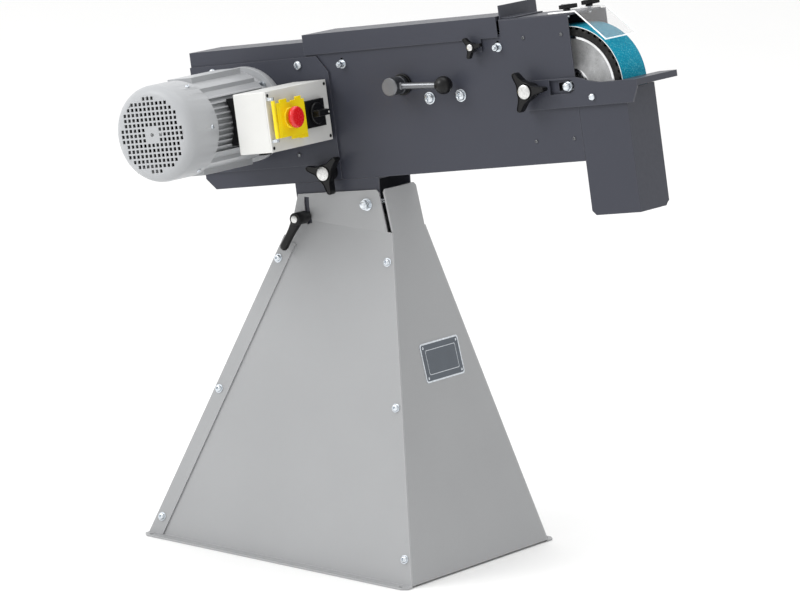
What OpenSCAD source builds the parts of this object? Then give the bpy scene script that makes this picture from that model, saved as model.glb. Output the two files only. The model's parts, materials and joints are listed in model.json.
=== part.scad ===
// Stationary pedestal belt grinder: folded sheet stand, tilting belt head,
// flange motor, contact wheel, hinged belt cover, work rest and spark guard.
// Millimetres. The origin is the centre of the stand's foot print on the floor;
// +X runs towards the contact wheel, -Y is the motor side, +Z is up.

/* [Stand] */
// Half width of the stand at the floor
stand_a = 285; // [280:0.5:290]
// Half depth of the stand at the floor
stand_b = 215.7; // [212:0.1:218]
// Inward lean of the left and right panels, per millimetre of height
lean_x = 0.309; // [0.300:0.001:0.315]
// Height at which the front and back panels turn upright
neck_z = 576; // [574:1:578]
// Half depth of the upright neck
neck_b = 52; // [51.8:0.1:52.4]
// Height of the right panel
right_z = 652; // [646:1:652]
// Height of the left panel
left_z = 545; // [530:1:555]
// Sheet thickness of the stand
stand_t = 3; // [2.5:0.5:3]
// Width of the foot flanges at the front and the back
foot_w = 20.7; // [18:0.1:26]
// Radius of the floor anchor holes
anchor_r = 4.5; // [3.5:0.5:5.5]

/* [Head] */
// Tilt of the belt head above the horizontal
head_tilt = 11.43; // [11:0.01:12]
// Height of the contact wheel's centre
wheel_z = 883.9; // [880:0.1:888]
// Distance of the contact wheel's centre from the stand's centre
wheel_x = 460.9; // [458:0.1:464]
// Length of the housing behind the contact wheel
head_l = 802; // [798:1:810]
// Half depth of the housing, outside
head_b = 47.5; // [47.4:0.1:47.6]
// Sheet thickness of the housing
head_t = 2.5; // [2:0.5:2.5]

/* [Belt] */
// Width of the abrasive belt
belt_w = 75; // [70:1:76]
// Thickness of the abrasive belt
belt_t = 1.2; // [1:0.1:1.5]
// Radius of the drive wheel and of the contact wheel
wheel_r = 100; // [98:0.5:100]
// Distance between the two wheels' centres
wheel_gap = 686; // [684:1:688]

/* [Motor] */
// Radius of the fan cover
fan_cover_r = 85; // [84:1:88]
// Radius over the motor's fins
fin_r = 80; // [78:1:82]
// Radius of the motor shaft
shaft_r = 14; // [12:0.5:15]

/* [Controls] */
// Half length of the control box along the motor
box_half_l = 90; // [85:1:92]
// Depth of the control box
box_d = 70; // [60:1:72]
// Radius of the emergency stop's mushroom head
mushroom_r = 19; // [16:0.5:20]

/* [Hidden] */

$fn = 64;
big = 400;
gap = 0.3;
tan_y = (stand_b - neck_b) / neck_z;

light_grey = [0.68, 0.69, 0.70];
slate = [0.22, 0.23, 0.26];
motor_grey = [0.62, 0.63, 0.65];
zinc = [0.78, 0.80, 0.82];
black = [0.05, 0.05, 0.05];
cast = [0.75, 0.76, 0.78];

function half_w(z) = stand_a - lean_x * z;
function half_d(z) = z < neck_z ? stand_b - tan_y * z : neck_b;

// ---------- frames and small shapes ----------

// Head frame: origin on the contact wheel's axis, X along the head, Z square to it
module head_frame() {
    translate([wheel_x, 0, wheel_z]) rotate([0, -head_tilt, 0]) children();
}

// Extrudes an X-Z outline between two Y planes
module slab_y(y0, y1) {
    translate([0, y1, 0]) rotate([90, 0, 0]) linear_extrude(y1 - y0) children();
}

// Extrudes a Y-Z outline between two X planes
module slab_x(x0, x1) {
    translate([x0, 0, 0]) rotate([90, 0, 90]) linear_extrude(x1 - x0) children();
}

// Round bar along Y at (x, z)
module rod_y(x, z, r, y0, y1) {
    translate([x, y1, z]) rotate([90, 0, 0]) cylinder(r = r, h = y1 - y0);
}

// Ring along Y at (x, z)
module ring_y(x, z, r_out, r_in, y0, y1) {
    difference() {
        rod_y(x, z, r_out, y0, y1);
        rod_y(x, z, r_in, y0 - 1, y1 + 1);
    }
}

// Axis-aligned block from its low corner to its high corner
module block(lo, hi) {
    translate(lo) cube(hi - lo);
}

// Hexagon bar along Y at (x, z), given across its flats
module hex_y(x, z, flats, y0, y1) {
    translate([x, y1, z]) rotate([90, 0, 0]) cylinder(r = flats / sqrt(3), h = y1 - y0, $fn = 6);
}

// Pan-head screw that stands out towards -Y from the plane y
module pan_screw(x, z, r, y, h, shank) {
    rod_y(x, z, r, y - h * 0.6, y);
    translate([x, y - h * 0.6, z]) rotate([90, 0, 0]) cylinder(r1 = r, r2 = r * 0.6, h = h * 0.4);
    rod_y(x, z, min(r * 0.5, 3), y, y + shank);
}

// Outline of a three-lobe star knob, first lobe at the angle turn
module star_outline(reach, hub_r, lobe_r, turn) {
    circle(r = hub_r);
    for (i = [0 : 2]) rotate(turn + 120 * i) {
        polygon([[0, -hub_r * 0.92], [reach - lobe_r, -lobe_r], [reach - lobe_r, lobe_r], [0, hub_r * 0.92]]);
        translate([reach - lobe_r, 0]) circle(r = lobe_r);
    }
}

// Star knob on a stud along Y; y0 is its foot and it stands out towards -Y
module star_knob(x, z, y0, reach, hub_r, lobe_r, turn) {
    foot = reach * 0.28;
    head = reach * 0.45;
    difference() {
        union() {
            rod_y(x, z, hub_r * 0.8, y0 - foot, y0);
            translate([x, y0 - foot, z]) rotate([90, 0, 0])
                linear_extrude(head) star_outline(reach, hub_r, lobe_r, turn);
            rod_y(x, z, hub_r * 0.72, y0 - foot - head - 2, y0 - foot - head);
        }
        rod_y(x, z, stud_r(reach) + 0.05, y0 - foot - head * 0.5, y0 + 1);
    }
}

function stud_r(reach) = reach > 30 ? 5 : 3;

// ---------- stand ----------

// Side outline of the stand, Y-Z, moved inwards by off
module depth_outline(off, top) {
    polygon([
        [-stand_b + off, 0], [-neck_b + off, neck_z], [-neck_b + off, top],
        [neck_b - off, top], [neck_b - off, neck_z], [stand_b - off, 0]
    ]);
}

// One wall of the front or back, from off_a to off_b inside the outer face
module wall_outline(off_a, off_b, z0, z1) {
    polygon([
        [-half_d(z0) + off_a, z0], if (z1 > neck_z) [-neck_b + off_a, neck_z],
        [-half_d(z1) + off_a, z1], [-half_d(z1) + off_b, z1],
        if (z1 > neck_z) [-neck_b + off_b, neck_z], [-half_d(z0) + off_b, z0]
    ]);
}

// Foot flange at the front (s = -1) or the back (s = 1), with its anchor holes
module foot_flange(s) {
    y_in = stand_b - 2.5;
    y_out = stand_b + foot_w;
    clip = 9;
    difference() {
        linear_extrude(stand_t) polygon([
            [-stand_a, s * y_in], [stand_a, s * y_in], [stand_a, s * (y_out - clip)],
            [stand_a - clip, s * y_out], [clip - stand_a, s * y_out], [-stand_a, s * (y_out - clip)]
        ]);
        for (x = [-anchor_x, anchor_x])
            translate([x, s * anchor_y, -1]) cylinder(r = anchor_r, h = stand_t + 2);
    }
}

badge_z = 352;
anchor_x = 270;
anchor_y = 227;
pivot = [51.2, 621.2];
pivot_r = 6;
clamp_slot_r = 131;
clamp_at = 197;
slot_from = 182;
slot_to = 203;
slot_half = 5.6;
stud_half = 4.9;
clamp = [pivot[0] + clamp_slot_r * cos(clamp_at), pivot[1] + clamp_slot_r * sin(clamp_at)];

// Curved slot in which the tilt clamp travels
module tilt_slot() {
    difference() {
        translate(pivot) circle(r = clamp_slot_r + slot_half);
        translate(pivot) circle(r = clamp_slot_r - slot_half);
        translate(pivot) rotate(slot_from - 180) translate([-big, 0]) square([2 * big, big]);
        translate(pivot) rotate(slot_to - 180) translate([-big, -big]) square([2 * big, big]);
    }
}

// Front (s = -1) or back (s = 1) panel of the stand
module depth_panel(s) {
    lap = stand_t + 0.6;
    seam_gap = 10.5;
    gap_z = neck_z + 2;
    outline = [
        [-stand_a + lap, 0], [-half_w(left_z) + lap, left_z], [-98, 619], [69, 650],
        [half_w(645) - seam_gap, 645], [half_w(gap_z) - seam_gap, gap_z],
        [half_w(gap_z), gap_z], [stand_a, 0]
    ];
    difference() {
        intersection() {
            slab_x(-big, big) mirror([s > 0 ? 1 : 0, 0]) wall_outline(0, stand_t, 0, 660);
            slab_y(-big, big) polygon(outline);
        }
        slab_y(s > 0 ? 0 : -big, s > 0 ? big : 0) tilt_slot();
        rod_y(pivot[0], pivot[1], pivot_r + gap, -big, big);
        for (p = seam_bolts) at_seam(p, s) seam_hole();
    }
    foot_flange(s);
}

bolt_shank = 2.9;
// X and Z of the bolts along the seams of the front and the back
seam_bolts = [
    [-119.8, 503], [-192.4, 266], [-262.2, 32], [108, 528], [182.5, 290], [259, 45]
];

module stand_front_panel() color(light_grey) depth_panel(-1);

module stand_back_panel() color(light_grey) depth_panel(1);

// Side panel at the side s with a flap of width w along the front and back, off inside their faces
module side_panel(s, off, w, flap_top, top) {
    z0 = stand_t + 0.2;
    difference() {
        intersection() {
            slab_y(-big, big) polygon([
                [s * half_w(z0), z0], [s * half_w(top), top], [s * (half_w(top) - stand_t), top],
                [s * (half_w(flap_top) - stand_t), flap_top], [s * (half_w(flap_top) - w), flap_top],
                [s * (half_w(z0) - w), z0]
            ]);
            slab_x(-big, big) depth_outline(off, top + 20);
        }
        intersection() {
            slab_y(-big, big) polygon([
                [s * (half_w(-5) - stand_t), -5], [s * (half_w(flap_top) - stand_t), flap_top],
                [0, flap_top + 60], [0, -5]
            ]);
            slab_x(-big, big) depth_outline(off + stand_t, top + 20);
        }
    }
}

// Moves to a seam point on the front (s = -1) or back wall, Z square to the wall
module at_seam(p, s) {
    lean = atan(tan_y);
    translate([p[0], s * half_d(p[1]), p[1]]) rotate([s < 0 ? 90 - lean : lean - 90, 0, 0]) children();
}

module seam_hole() {
    translate([0, 0, -15]) cylinder(r = bolt_shank + 0.15, h = 25);
}

module seam_holes(side) {
    for (s = [-1, 1]) for (p = seam_bolts) if (sign(p[0]) == side) at_seam(p, s) seam_hole();
}

module stand_left_panel() color(light_grey) difference() {
    side_panel(-1, -stand_t - 0.1, 30, left_z - 12, left_z);
    seam_holes(-1);
}

module stand_right_panel() color(light_grey) difference() {
    side_panel(1, stand_t + 0.1, 32, 572, right_z);
    seam_holes(1);
    for (s = [-1, 1]) slab_x(0, big) polygon([
        [s * (neck_b - 9), right_z + 1], [s * (neck_b + 2), right_z + 1], [s * (neck_b + 2), right_z - 10]
    ]);
}

// Bolt through the two sheets at one seam point, with its nut inside
module seam_bolt(p, s) {
    lap = p[0] < 0 ? stand_t + 0.1 : 0;
    at_seam(p, s) {
        translate([0, 0, lap]) cylinder(r = 8, h = 1.4);
        translate([0, 0, lap]) cylinder(r = 6.2, h = 3.6);
        translate([0, 0, lap + 3.6]) cylinder(r1 = 6.2, r2 = 3.6, h = 1.8);
        translate([0, 0, -13]) cylinder(r = bolt_shank, h = 13 + lap);
        translate([0, 0, lap - 2 * stand_t - 5]) cylinder(r = 5.8, h = 4.6, $fn = 6);
    }
}

module stand_bolts() color(zinc) for (s = [-1, 1]) for (p = seam_bolts) seam_bolt(p, s);

// Plain plate on the right panel
module badge_plate() color(black) {
    lean = atan(lean_x);
    translate([half_w(badge_z), 14, badge_z]) rotate([0, 90 - lean, 0])
        translate([-35, -59, 0.05]) cube([70, 118, 1.2]);
}

module pivot_bolt() color(zinc) {
    for (y = [-1, 1]) {
        ring_y(pivot[0], pivot[1], 13, pivot_r, y > 0 ? neck_b : -neck_b - 2, y > 0 ? neck_b + 2 : -neck_b);
        hex_y(pivot[0], pivot[1], 18, y > 0 ? neck_b + 2 : -neck_b - 10, y > 0 ? neck_b + 10 : -neck_b - 2);
    }
    rod_y(pivot[0], pivot[1], pivot_r, -neck_b - 16, neck_b + 14);
}

// ---------- head frame and sheet work ----------

// Points of the stand's pivot and clamp in the head's own frame
function to_head(p) = [
    (p[0] - wheel_x) * cos(head_tilt) + (p[1] - wheel_z) * sin(head_tilt),
    (p[1] - wheel_z) * cos(head_tilt) - (p[0] - wheel_x) * sin(head_tilt)
];
pivot_h = to_head(pivot);
clamp_h = to_head(clamp);
in_b = head_b - head_t;
floor_z = -130;
left_top_z = 117;
recess_z = 99;
top_z = 122;
cover_x0 = -547;
cover_x1 = -133;
face_x1 = 12;
corner = 20;
saddle_x0 = -606;
saddle_x1 = -424;

module saddle_bracket() color(slate) head_frame() {
    cheek_in = neck_b - stand_t - 3.5;
    for (s = [-1, 1]) difference() {
        slab_y(s > 0 ? cheek_in : -cheek_in - 3, s > 0 ? cheek_in + 3 : -cheek_in) {
            polygon([
                [saddle_x0, floor_z - 3], [saddle_x1, floor_z - 3], [pivot_h[0] + 26, pivot_h[1]],
                [pivot_h[0], pivot_h[1] - 26], [clamp_h[0], clamp_h[1] - 22], [saddle_x0, clamp_h[1]]
            ]);
            translate(pivot_h) circle(r = 26);
        }
        rod_y(pivot_h[0], pivot_h[1], pivot_r + 0.05, -big, big);
        rod_y(clamp_h[0], clamp_h[1], stud_half + 0.05, -big, big);
    }
    block([saddle_x0, -cheek_in - 3, floor_z - 3], [saddle_x1, cheek_in + 3, floor_z]);
}

// Outline shared by the two side sheets
module side_outline(right_edge) {
    polygon([
        [-head_l, left_top_z], [-head_l, floor_z + corner], [-head_l + corner, floor_z],
        [right_edge, floor_z], [right_edge, top_z], [cover_x1 + 3, top_z], [cover_x1 + 3, recess_z],
        [cover_x0 - 2, recess_z], [cover_x0 - 2, left_top_z]
    ]);
}

// Upright slot of half width w between two heights
module slot_z(x, z0, z1, w) {
    translate([x - w, z0]) square([2 * w, z1 - z0]);
    translate([x, z0]) circle(r = w);
    translate([x, z1]) circle(r = w);
}

motor_x = -wheel_gap;
lever_at = [-346, 28];
rest_stud = [-72, -1];
track_stud = [-520, -114];
cover_stud = [-182, 82];
plate_screws = [[-752, 78], [-563, 78], [-586, -80], [-752, -80]];
face_screws = [[-83, 89], [-5, 89], [-83, -90], [-5, -90]];
stud_points = [[-470, 73], [-137, 77]];
bolt_points = [[-293, 0], [-227, 0]];
axle_r = 10;
axle_end_r = 6;
stroke = 15.56;

module front_panel() color(slate) head_frame() difference() {
    slab_y(-head_b, -in_b) side_outline(face_x1);
    rod_y(motor_x, 0, 60, -60, 0);
    flange_holes();
    rod_y(lever_at[0], lever_at[1], 11, -60, 0);
    slab_y(-60, 0) translate([-stroke - axle_end_r - 1, -axle_end_r - 1])
        square([stroke + 2 * axle_end_r + 2, 2 * axle_end_r + 2]);
    for (p = stud_points) slab_y(-60, 0) slot_z(p[0], p[1], p[1] + 8, 3.2);
    for (p = bolt_points) rod_y(p[0], p[1], 5.1, -60, 0);
    for (p = face_screws) rod_y(p[0], p[1], 2.6, -60, 0);
    for (p = [rest_stud, track_stud]) rod_y(p[0], p[1], stud_r(40) + 0.02, -60, 0);
    rod_y(cover_stud[0], cover_stud[1], stud_r(20) + 0.02, -60, 0);
    for (p = plate_screws) rod_y(p[0], p[1], 3.2, -60, 0);
}

module back_panel() color(slate) head_frame() difference() {
    slab_y(in_b, head_b) side_outline(30);
    for (p = bolt_points) rod_y(p[0], p[1], 5.1, 0, 60);
}

// Bent sheet that closes the bottom, the drive end and the rear part of the top
module housing_wrap() color(slate) head_frame() {
    k = head_t * 0.4142;
    slab_y(-in_b, in_b) polygon([
        [cover_x0 - 2, left_top_z], [-head_l, left_top_z], [-head_l, floor_z + corner],
        [-head_l + corner, floor_z], [face_x1 - 1, floor_z], [face_x1 - 1, floor_z + head_t],
        [-head_l + corner + k, floor_z + head_t], [-head_l + head_t, floor_z + corner + k],
        [-head_l + head_t, left_top_z - head_t], [cover_x0 - 2, left_top_z - head_t]
    ]);
}

guard_knob_x = 5;
guard_knob_y = 35;

module top_front_panel() color(slate) head_frame() difference() {
    union() {
        block([cover_x1 + 3, -in_b, top_z - head_t], [face_x1 - 1, in_b, top_z]);
        block([cover_x1 + 3, -head_b, top_z], [face_x1 + 8, head_b, top_z + 2]);
        block([cover_x1 + 3, -in_b, recess_z + 6], [cover_x1 + 5, in_b, top_z - head_t]);
    }
    for (s = [-1, 1]) translate([guard_knob_x, s * guard_knob_y, 0]) cylinder(r = 3.02, h = 200);
}

module work_stop() color(slate) head_frame() {
    block([cover_x1 + 5, -head_b, top_z + 2], [cover_x1 + 7.5, head_b + 21, top_z + 26]);
    block([cover_x1 + 7.5, -head_b + 4, top_z + 2], [cover_x1 + 36, head_b - 4, top_z + 4.5]);
}

chute_x1 = 111;
chute_z0 = -224;
chute_z1 = -12;
lip = 8;

// Spark chute under the contact wheel, open at the top, the left and the bottom
module spark_chute() color(slate) head_frame() {
    slab_y(-head_b, -in_b) polygon([
        [face_x1 + 0.2, chute_z1], [face_x1 + 0.2, floor_z - 0.2], [face_x1 + 0.2, chute_z0 + lip],
        [face_x1 + lip, chute_z0], [chute_x1, chute_z0], [chute_x1, chute_z1]
    ]);
    slab_y(in_b - 3, head_b - 3) polygon([
        [30.5, chute_z1], [30.5, floor_z - 0.3], [face_x1 + 0.2, floor_z - 0.3], [face_x1 + 0.2,
            chute_z0 + lip],
        [face_x1 + lip, chute_z0], [chute_x1 - lip, chute_z0], [chute_x1, chute_z0 + lip], [chute_x1, chute_z1]
    ]);
    slab_x(chute_x1 - head_t, chute_x1) polygon([
        [-in_b, chute_z1], [-in_b, chute_z0], [in_b - 3 - lip, chute_z0], [in_b - 3, chute_z0 + lip],
        [in_b - 3, chute_z1]
    ]);
    block([face_x1 + 0.2, -in_b, chute_z0 + lip], [face_x1 + 2.7, in_b - 3, floor_z - 0.3]);
}

baffle_x = -119;

// Partition behind the contact wheel that keeps the sparks out of the housing
module spark_baffle() color(slate) head_frame() difference() {
    union() {
        block([baffle_x - 2, -in_b, -93], [baffle_x, 35, 93]);
        for (z = [-93, 82]) block([baffle_x, -in_b, z], [3, -in_b + 2, z + 11]);
    }
    for (p = face_screws) rod_y(p[0], p[1], 2.6, -60, 0);
}

// Small screws of the front panel, the fan cover and the control lid
module small_screws() color(zinc) head_frame() {
    for (p = face_screws) pan_screw(p[0], p[1], 4.2, -head_b, 3, 7);
    for (a = [30 : 60 : 330]) cover_screw_axis(a) {
        translate([0, 0, 76.1]) cylinder(r = 2, h = fan_cover_r - 76);
        translate([0, 0, fan_cover_r]) cylinder(r1 = 4, r2 = 2.6, h = 2.4);
    }
    for (y = [box_y0 + 6, box_y1 - 6]) for (z = [box_z0 + 7, box_z1 - 7])
        translate([box_x1, y, z]) rotate([0, 90, 0]) cylinder(r1 = 3, r2 = 2.2, h = 1.2);
}

platen_x1 = -124;

module platen() color(zinc) head_frame() difference() {
    union() {
        block([-520, -36, 94], [platen_x1, 36, wheel_r - gap]);
        block([-500, -40, 58], [platen_x1, -37, 94]);
        block([-500, -37, 90], [platen_x1, -33, 94]);
    }
    for (p = stud_points) rod_y(p[0], p[1], 3.05, -60, 0);
}

module platen_studs() color(zinc) head_frame() for (p = stud_points) {
    rod_y(p[0], p[1], 3, -head_b - 16, -34);
    ring_y(p[0], p[1], 8, 3, -head_b - 1.6, -head_b);
    hex_y(p[0], p[1], 10, -head_b - 6.6, -head_b - 1.6);
    hex_y(p[0], p[1], 10, -head_b - 12, -head_b - 7);
}

// Two bolts with spacer sleeves that carry and guide the tension arm
module guide_bolts() color(zinc) head_frame() for (p = bolt_points) {
    ring_y(p[0], p[1], 11, 5, -head_b - 1.6, -head_b);
    rod_y(p[0], p[1], 9, -head_b - 5.5, -head_b - 1.6);
    translate([p[0], -head_b - 5.5, p[1]]) rotate([90, 0, 0]) cylinder(r1 = 9, r2 = 6, h = 2);
    rod_y(p[0], p[1], 5, -head_b - 5.5, head_b + 9);
    ring_y(p[0], p[1], 9, 5, -in_b, in_b - 9);
    ring_y(p[0], p[1], 7.4, 5, in_b - 9, in_b);
    hex_y(p[0], p[1], 15, head_b, head_b + 8);
}

// Fixed studs that the star knobs and the tilt clamp screw on
module clamp_studs() color(zinc) head_frame() {
    for (p = [rest_stud, track_stud]) rod_y(p[0], p[1], stud_r(40), -head_b - 22, -in_b + 4);
    rod_y(cover_stud[0], cover_stud[1], stud_r(20), -head_b - 13, -in_b + 4);
    for (s = [-1, 1]) translate([guard_knob_x, s * guard_knob_y, top_z - head_t - 3]) cylinder(r = 3, h = 18);
    rod_y(clamp_h[0], clamp_h[1], stud_half, -neck_b - 24, neck_b + 14);
    ring_y(clamp_h[0], clamp_h[1], 7.5, stud_half, neck_b + 1.7, neck_b + 3.7);
    hex_y(clamp_h[0], clamp_h[1], 13, neck_b + 3.7, neck_b + 12);
}

// Outline of the belt loop, grown by g over the wheels
module belt_outline(g) {
    translate([motor_x, -wheel_r - g]) square([wheel_gap, 2 * (wheel_r + g)]);
    translate([motor_x, 0]) circle(r = wheel_r + g, $fn = 96);
    circle(r = wheel_r + g, $fn = 96);
}

module abrasive_belt() color("teal") head_frame() slab_y(-belt_w / 2, belt_w / 2) difference() {
    belt_outline(gap + belt_t);
    belt_outline(gap);
}

module lever_bush() color(black) head_frame() difference() {
    union() {
        rod_y(lever_at[0], lever_at[1], 19, -head_b - 5, -head_b);
        rod_y(lever_at[0], lever_at[1], 11, -head_b, -in_b + 6);
    }
    rod_y(lever_at[0], lever_at[1], 8.05, -big, big);
}

// ---------- motor ----------

flange_y = -head_b - 4;
body_y0 = -266;
cover_y0 = -333;
cover_y1 = -253;
plate_z0 = -100;
plate_z1 = 91;
plate_x1 = -500;

module motor_plate() color(slate) head_frame() difference() {
    slab_y(flange_y, -head_b) polygon([
        [-head_l, plate_z1], [-head_l, plate_z0], [plate_x1 - 55, plate_z0], [plate_x1 - 55, -128],
        [plate_x1, -128], [plate_x1, 62], [plate_x1 - 22, plate_z1]
    ]);
    rod_y(motor_x, 0, 55.05, -80, 0);
    rod_y(track_stud[0], track_stud[1], stud_r(40) + 0.02, -80, 0);
    for (p = plate_screws) rod_y(p[0], p[1], 3.2, -80, 0);
    flange_holes();
}

module flange_holes() {
    for (a = [45 : 90 : 315]) rod_y(motor_x + 71 * cos(a), 71 * sin(a), 4.1, -90, 0);
}

module motor_plate_bolts() color(zinc) head_frame() {
    for (p = plate_screws) pan_screw(p[0], p[1], 8, flange_y, 5, 9);
    for (a = [45 : 90 : 315]) rod_y(motor_x + 71 * cos(a), 71 * sin(a), 4, flange_y - 14, -in_b + 1);
}

module motor_flange() color(motor_grey) head_frame() difference() {
    union() {
        rod_y(motor_x, 0, 85, flange_y - 13, flange_y);
        rod_y(motor_x, 0, 55, flange_y, -in_b);
        rod_y(motor_x, 0, 73, flange_y - 24, flange_y - 13);
    }
    rod_y(motor_x, 0, 31.02, flange_y - 25, flange_y - 2);
    rod_y(motor_x, 0, 20, flange_y - 3, 0);
    flange_holes();
}

// Finned stator housing with plain pads at the top and the bottom
module motor_housing() color(motor_grey) head_frame() difference() {
    union() {
        rod_y(motor_x, 0, 74, body_y0, flange_y - 24.2);
        intersection() {
            rod_y(motor_x, 0, fin_r, body_y0, flange_y - 30);
            union() {
                for (i = [-5 : 5]) block([motor_x - 90, body_y0, i * 9.6 - 1.1], [motor_x + 90, 0,
                    i * 9.6 + 1.1]);
                for (s = [-1, 1]) block([motor_x - 46, body_y0, s > 0 ? 58 : -90], [motor_x + 46, 0,
                    s > 0 ? 90 : -58]);
            }
        }
        for (s = [-1, 1]) block(
            [motor_x - 26, body_y0 + 30, s > 0 ? 70 : -86], [motor_x + 26, flange_y - 40, s > 0 ? 86 : -70]
        );
    }
    rod_y(motor_x, 0, 66.05, body_y0 - 1, 0);
}

module rear_end_shield() color(motor_grey) head_frame() difference() {
    union() {
        rod_y(motor_x, 0, 76, body_y0 - 10, body_y0 - 0.2);
        rod_y(motor_x, 0, 40, body_y0 - 18, body_y0 - 10);
        rod_y(motor_x, 0, 65.9, body_y0 - 0.2, body_y0 + 8);
    }
    rod_y(motor_x, 0, 31.02, body_y0 - 12, body_y0 + 9);
    rod_y(motor_x, 0, 18, body_y0 - 20, 0);
}

// Laminated stator with its end windings
module stator_core() color("peru") head_frame() {
    ring_y(motor_x, 0, 66, 46, -210, -105);
    for (y = [-224, -105]) ring_y(motor_x, 0, 62, 49, y, y + 14);
}

module motor_bearings() color(zinc) head_frame() {
    for (y = [flange_y - 20, body_y0 - 11]) ring_y(motor_x, 0, 31, shaft_r + 0.05, y, y + 15);
}

vent_pitch = 9.1;
vent_w = 6;
vent_reach = 66;
cover_t = 2;
cover_round = 20;

// Round body along Y from y0 to y1 with a rounded rim at y0
module cover_shape(r, y0, y1, round_r) {
    translate([motor_x, y0, 0]) rotate([-90, 0, 0]) rotate_extrude($fn = 96) polygon(concat(
        [[0, 0]],
        [for (a = [0 : 15 : 90]) [r - round_r + round_r * sin(a), round_r - round_r * cos(a)]],
        [[r, y1 - y0], [0, y1 - y0]]
    ));
}

module fan_cover() color(motor_grey) head_frame() difference() {
    cover_shape(fan_cover_r, cover_y0, cover_y1, cover_round);
    cover_shape(fan_cover_r - cover_t, cover_y0 + cover_t, cover_y1 + 1, cover_round - cover_t);
    rod_y(motor_x, 0, 3.5, cover_y0 - 1, cover_y0 + 5);
    for (i = [-7 : 7]) for (k = [-7 : 7])
        if (norm([i, k]) * vent_pitch < vent_reach && max(abs(i), abs(k)) > 1)
            translate([motor_x + i * vent_pitch - vent_w / 2, cover_y0 - 1, k * vent_pitch - vent_w / 2])
                cube([vent_w, 5, vent_w]);
    for (a = [30 : 60 : 330]) cover_screw_axis(a) cylinder(r = 2.1, h = 200);
}

// Radial line of a fan cover screw
module cover_screw_axis(a) {
    translate([motor_x, body_y0 - 5, 0]) rotate([0, a, 0]) children();
}

box_x1 = motor_x + 184;
box_x0 = box_x1 - box_d;
box_y0 = -240;
box_y1 = box_y0 + 2 * box_half_l;
box_z0 = -56;
box_z1 = 50;
lid_t = 3;

module terminal_base() color(black) head_frame() difference() {
    block([motor_x + 72, -205, -42], [box_x0, -95, 42]);
    rod_y(motor_x, 0, fin_r + 0.2, body_y0, 0);
    block([motor_x + 70, -195, -32], [box_x0 - 4, -105, 32]);
}

module cable_gland() color(black) head_frame() {
    translate([box_x0 - 14, -150, -66]) difference() {
        union() {
            cylinder(r = 10, h = 24);
            cylinder(r = 12, h = 10, $fn = 6);
        }
        translate([0, 0, -1]) cylinder(r = 5, h = 26);
    }
}

module control_box() color("white") head_frame() difference() {
    block([box_x0, box_y0, box_z0], [box_x1 - lid_t, box_y1, box_z1]);
    block([box_x0 + 3, box_y0 + 3, box_z0 + 3], [box_x1, box_y1 - 3, box_z1 - 3]);
}

button_y = [-206, -174];
selector_y = -112;
selector_z = -4;

module control_lid() color("white") head_frame() difference() {
    block([box_x1 - lid_t, box_y0, box_z0], [box_x1, box_y1, box_z1]);
    for (y = button_y) translate([box_x1 - 10, y, 0]) rotate([0, 90, 0]) cylinder(r = 10.3, h = 20);
    translate([box_x1 - 10, selector_y, selector_z]) rotate([0, 90, 0]) cylinder(r = 8, h = 20);
}

module selector_base() color(black) head_frame() difference() {
    translate([box_x1, selector_y - 27, selector_z - 24]) cube([9, 54, 48]);
    translate([box_x1 - 2, selector_y, selector_z]) rotate([0, 90, 0]) cylinder(r = 4.05, h = 20);
}

// ---------- turning parts ----------

module motor_shaft() color(zinc) head_frame() {
    rod_y(motor_x, 0, shaft_r, -322, 34);
    rod_y(motor_x, 0, 9, 34, 40);
    ring_y(motor_x, 0, 17, 9, 34.1, 37);
}

module rotor_core() color("silver") head_frame() ring_y(motor_x, 0, 45.4, shaft_r + 0.01, -212, -103);

module cooling_fan() color(black) head_frame() difference() {
    union() {
        rod_y(motor_x, 0, 22, -320, -289);
        rod_y(motor_x, 0, 66, -294, -291);
        for (a = [0 : 45 : 315]) translate([motor_x, 0, 0]) rotate([0, a, 0]) block([18, -320, -1.2],
            [66, -291, 1.2]);
    }
    rod_y(motor_x, 0, shaft_r + 0.01, -340, 0);
}

// Crown-faced drive wheel with six lightening holes
module drive_wheel() color(cast) head_frame() difference() {
    union() {
        ring_y(motor_x, 0, wheel_r, wheel_r - 10, -belt_w / 2, belt_w / 2);
        rod_y(motor_x, 0, wheel_r - 9, -6, 6);
        rod_y(motor_x, 0, 27, -34, 33.5);
    }
    rod_y(motor_x, 0, shaft_r + 0.01, -60, 60);
    for (a = [0 : 60 : 300]) rod_y(motor_x + 58 * cos(a), 58 * sin(a), 17, -20, 20);
}

arm_y0 = 39;
arm_y1 = 43;

module tension_arm() color(zinc) head_frame() difference() {
    slab_y(arm_y0, arm_y1) difference() {
        union() {
            polygon([[-374, -20], [0, -20], [0, 20], [-300, 20], [-322, 54], [-374, 54]]);
            circle(r = 20);
        }
        for (p = bolt_points) hull_slot(p, stroke, 7.5);
        translate([lever_at[0] + 7.78 - 4.7, lever_at[1] + 2]) square([9.4, 20]);
    }
    rod_y(0, 0, axle_r, 0, 60);
}

// Slot of half width w along X that lets a fixed pin at p travel by d
module hull_slot(p, d, w) {
    translate([p[0], p[1] - w]) square([d, 2 * w]);
    translate(p) circle(r = w);
    translate([p[0] + d, p[1]]) circle(r = w);
}

module contact_axle() color(zinc) head_frame() {
    rod_y(0, 0, axle_r, -40, arm_y1);
    rod_y(0, 0, axle_end_r, -head_b - 15, -40);
    ring_y(0, 0, 14, axle_r, arm_y0 - 3, arm_y0 - 0.05);
    ring_y(0, 0, 9, axle_end_r, -head_b - 7, -head_b - 5);
    hex_y(0, 0, 14, -head_b - 13, -head_b - 7);
}

tyre_in = 85;

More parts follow.
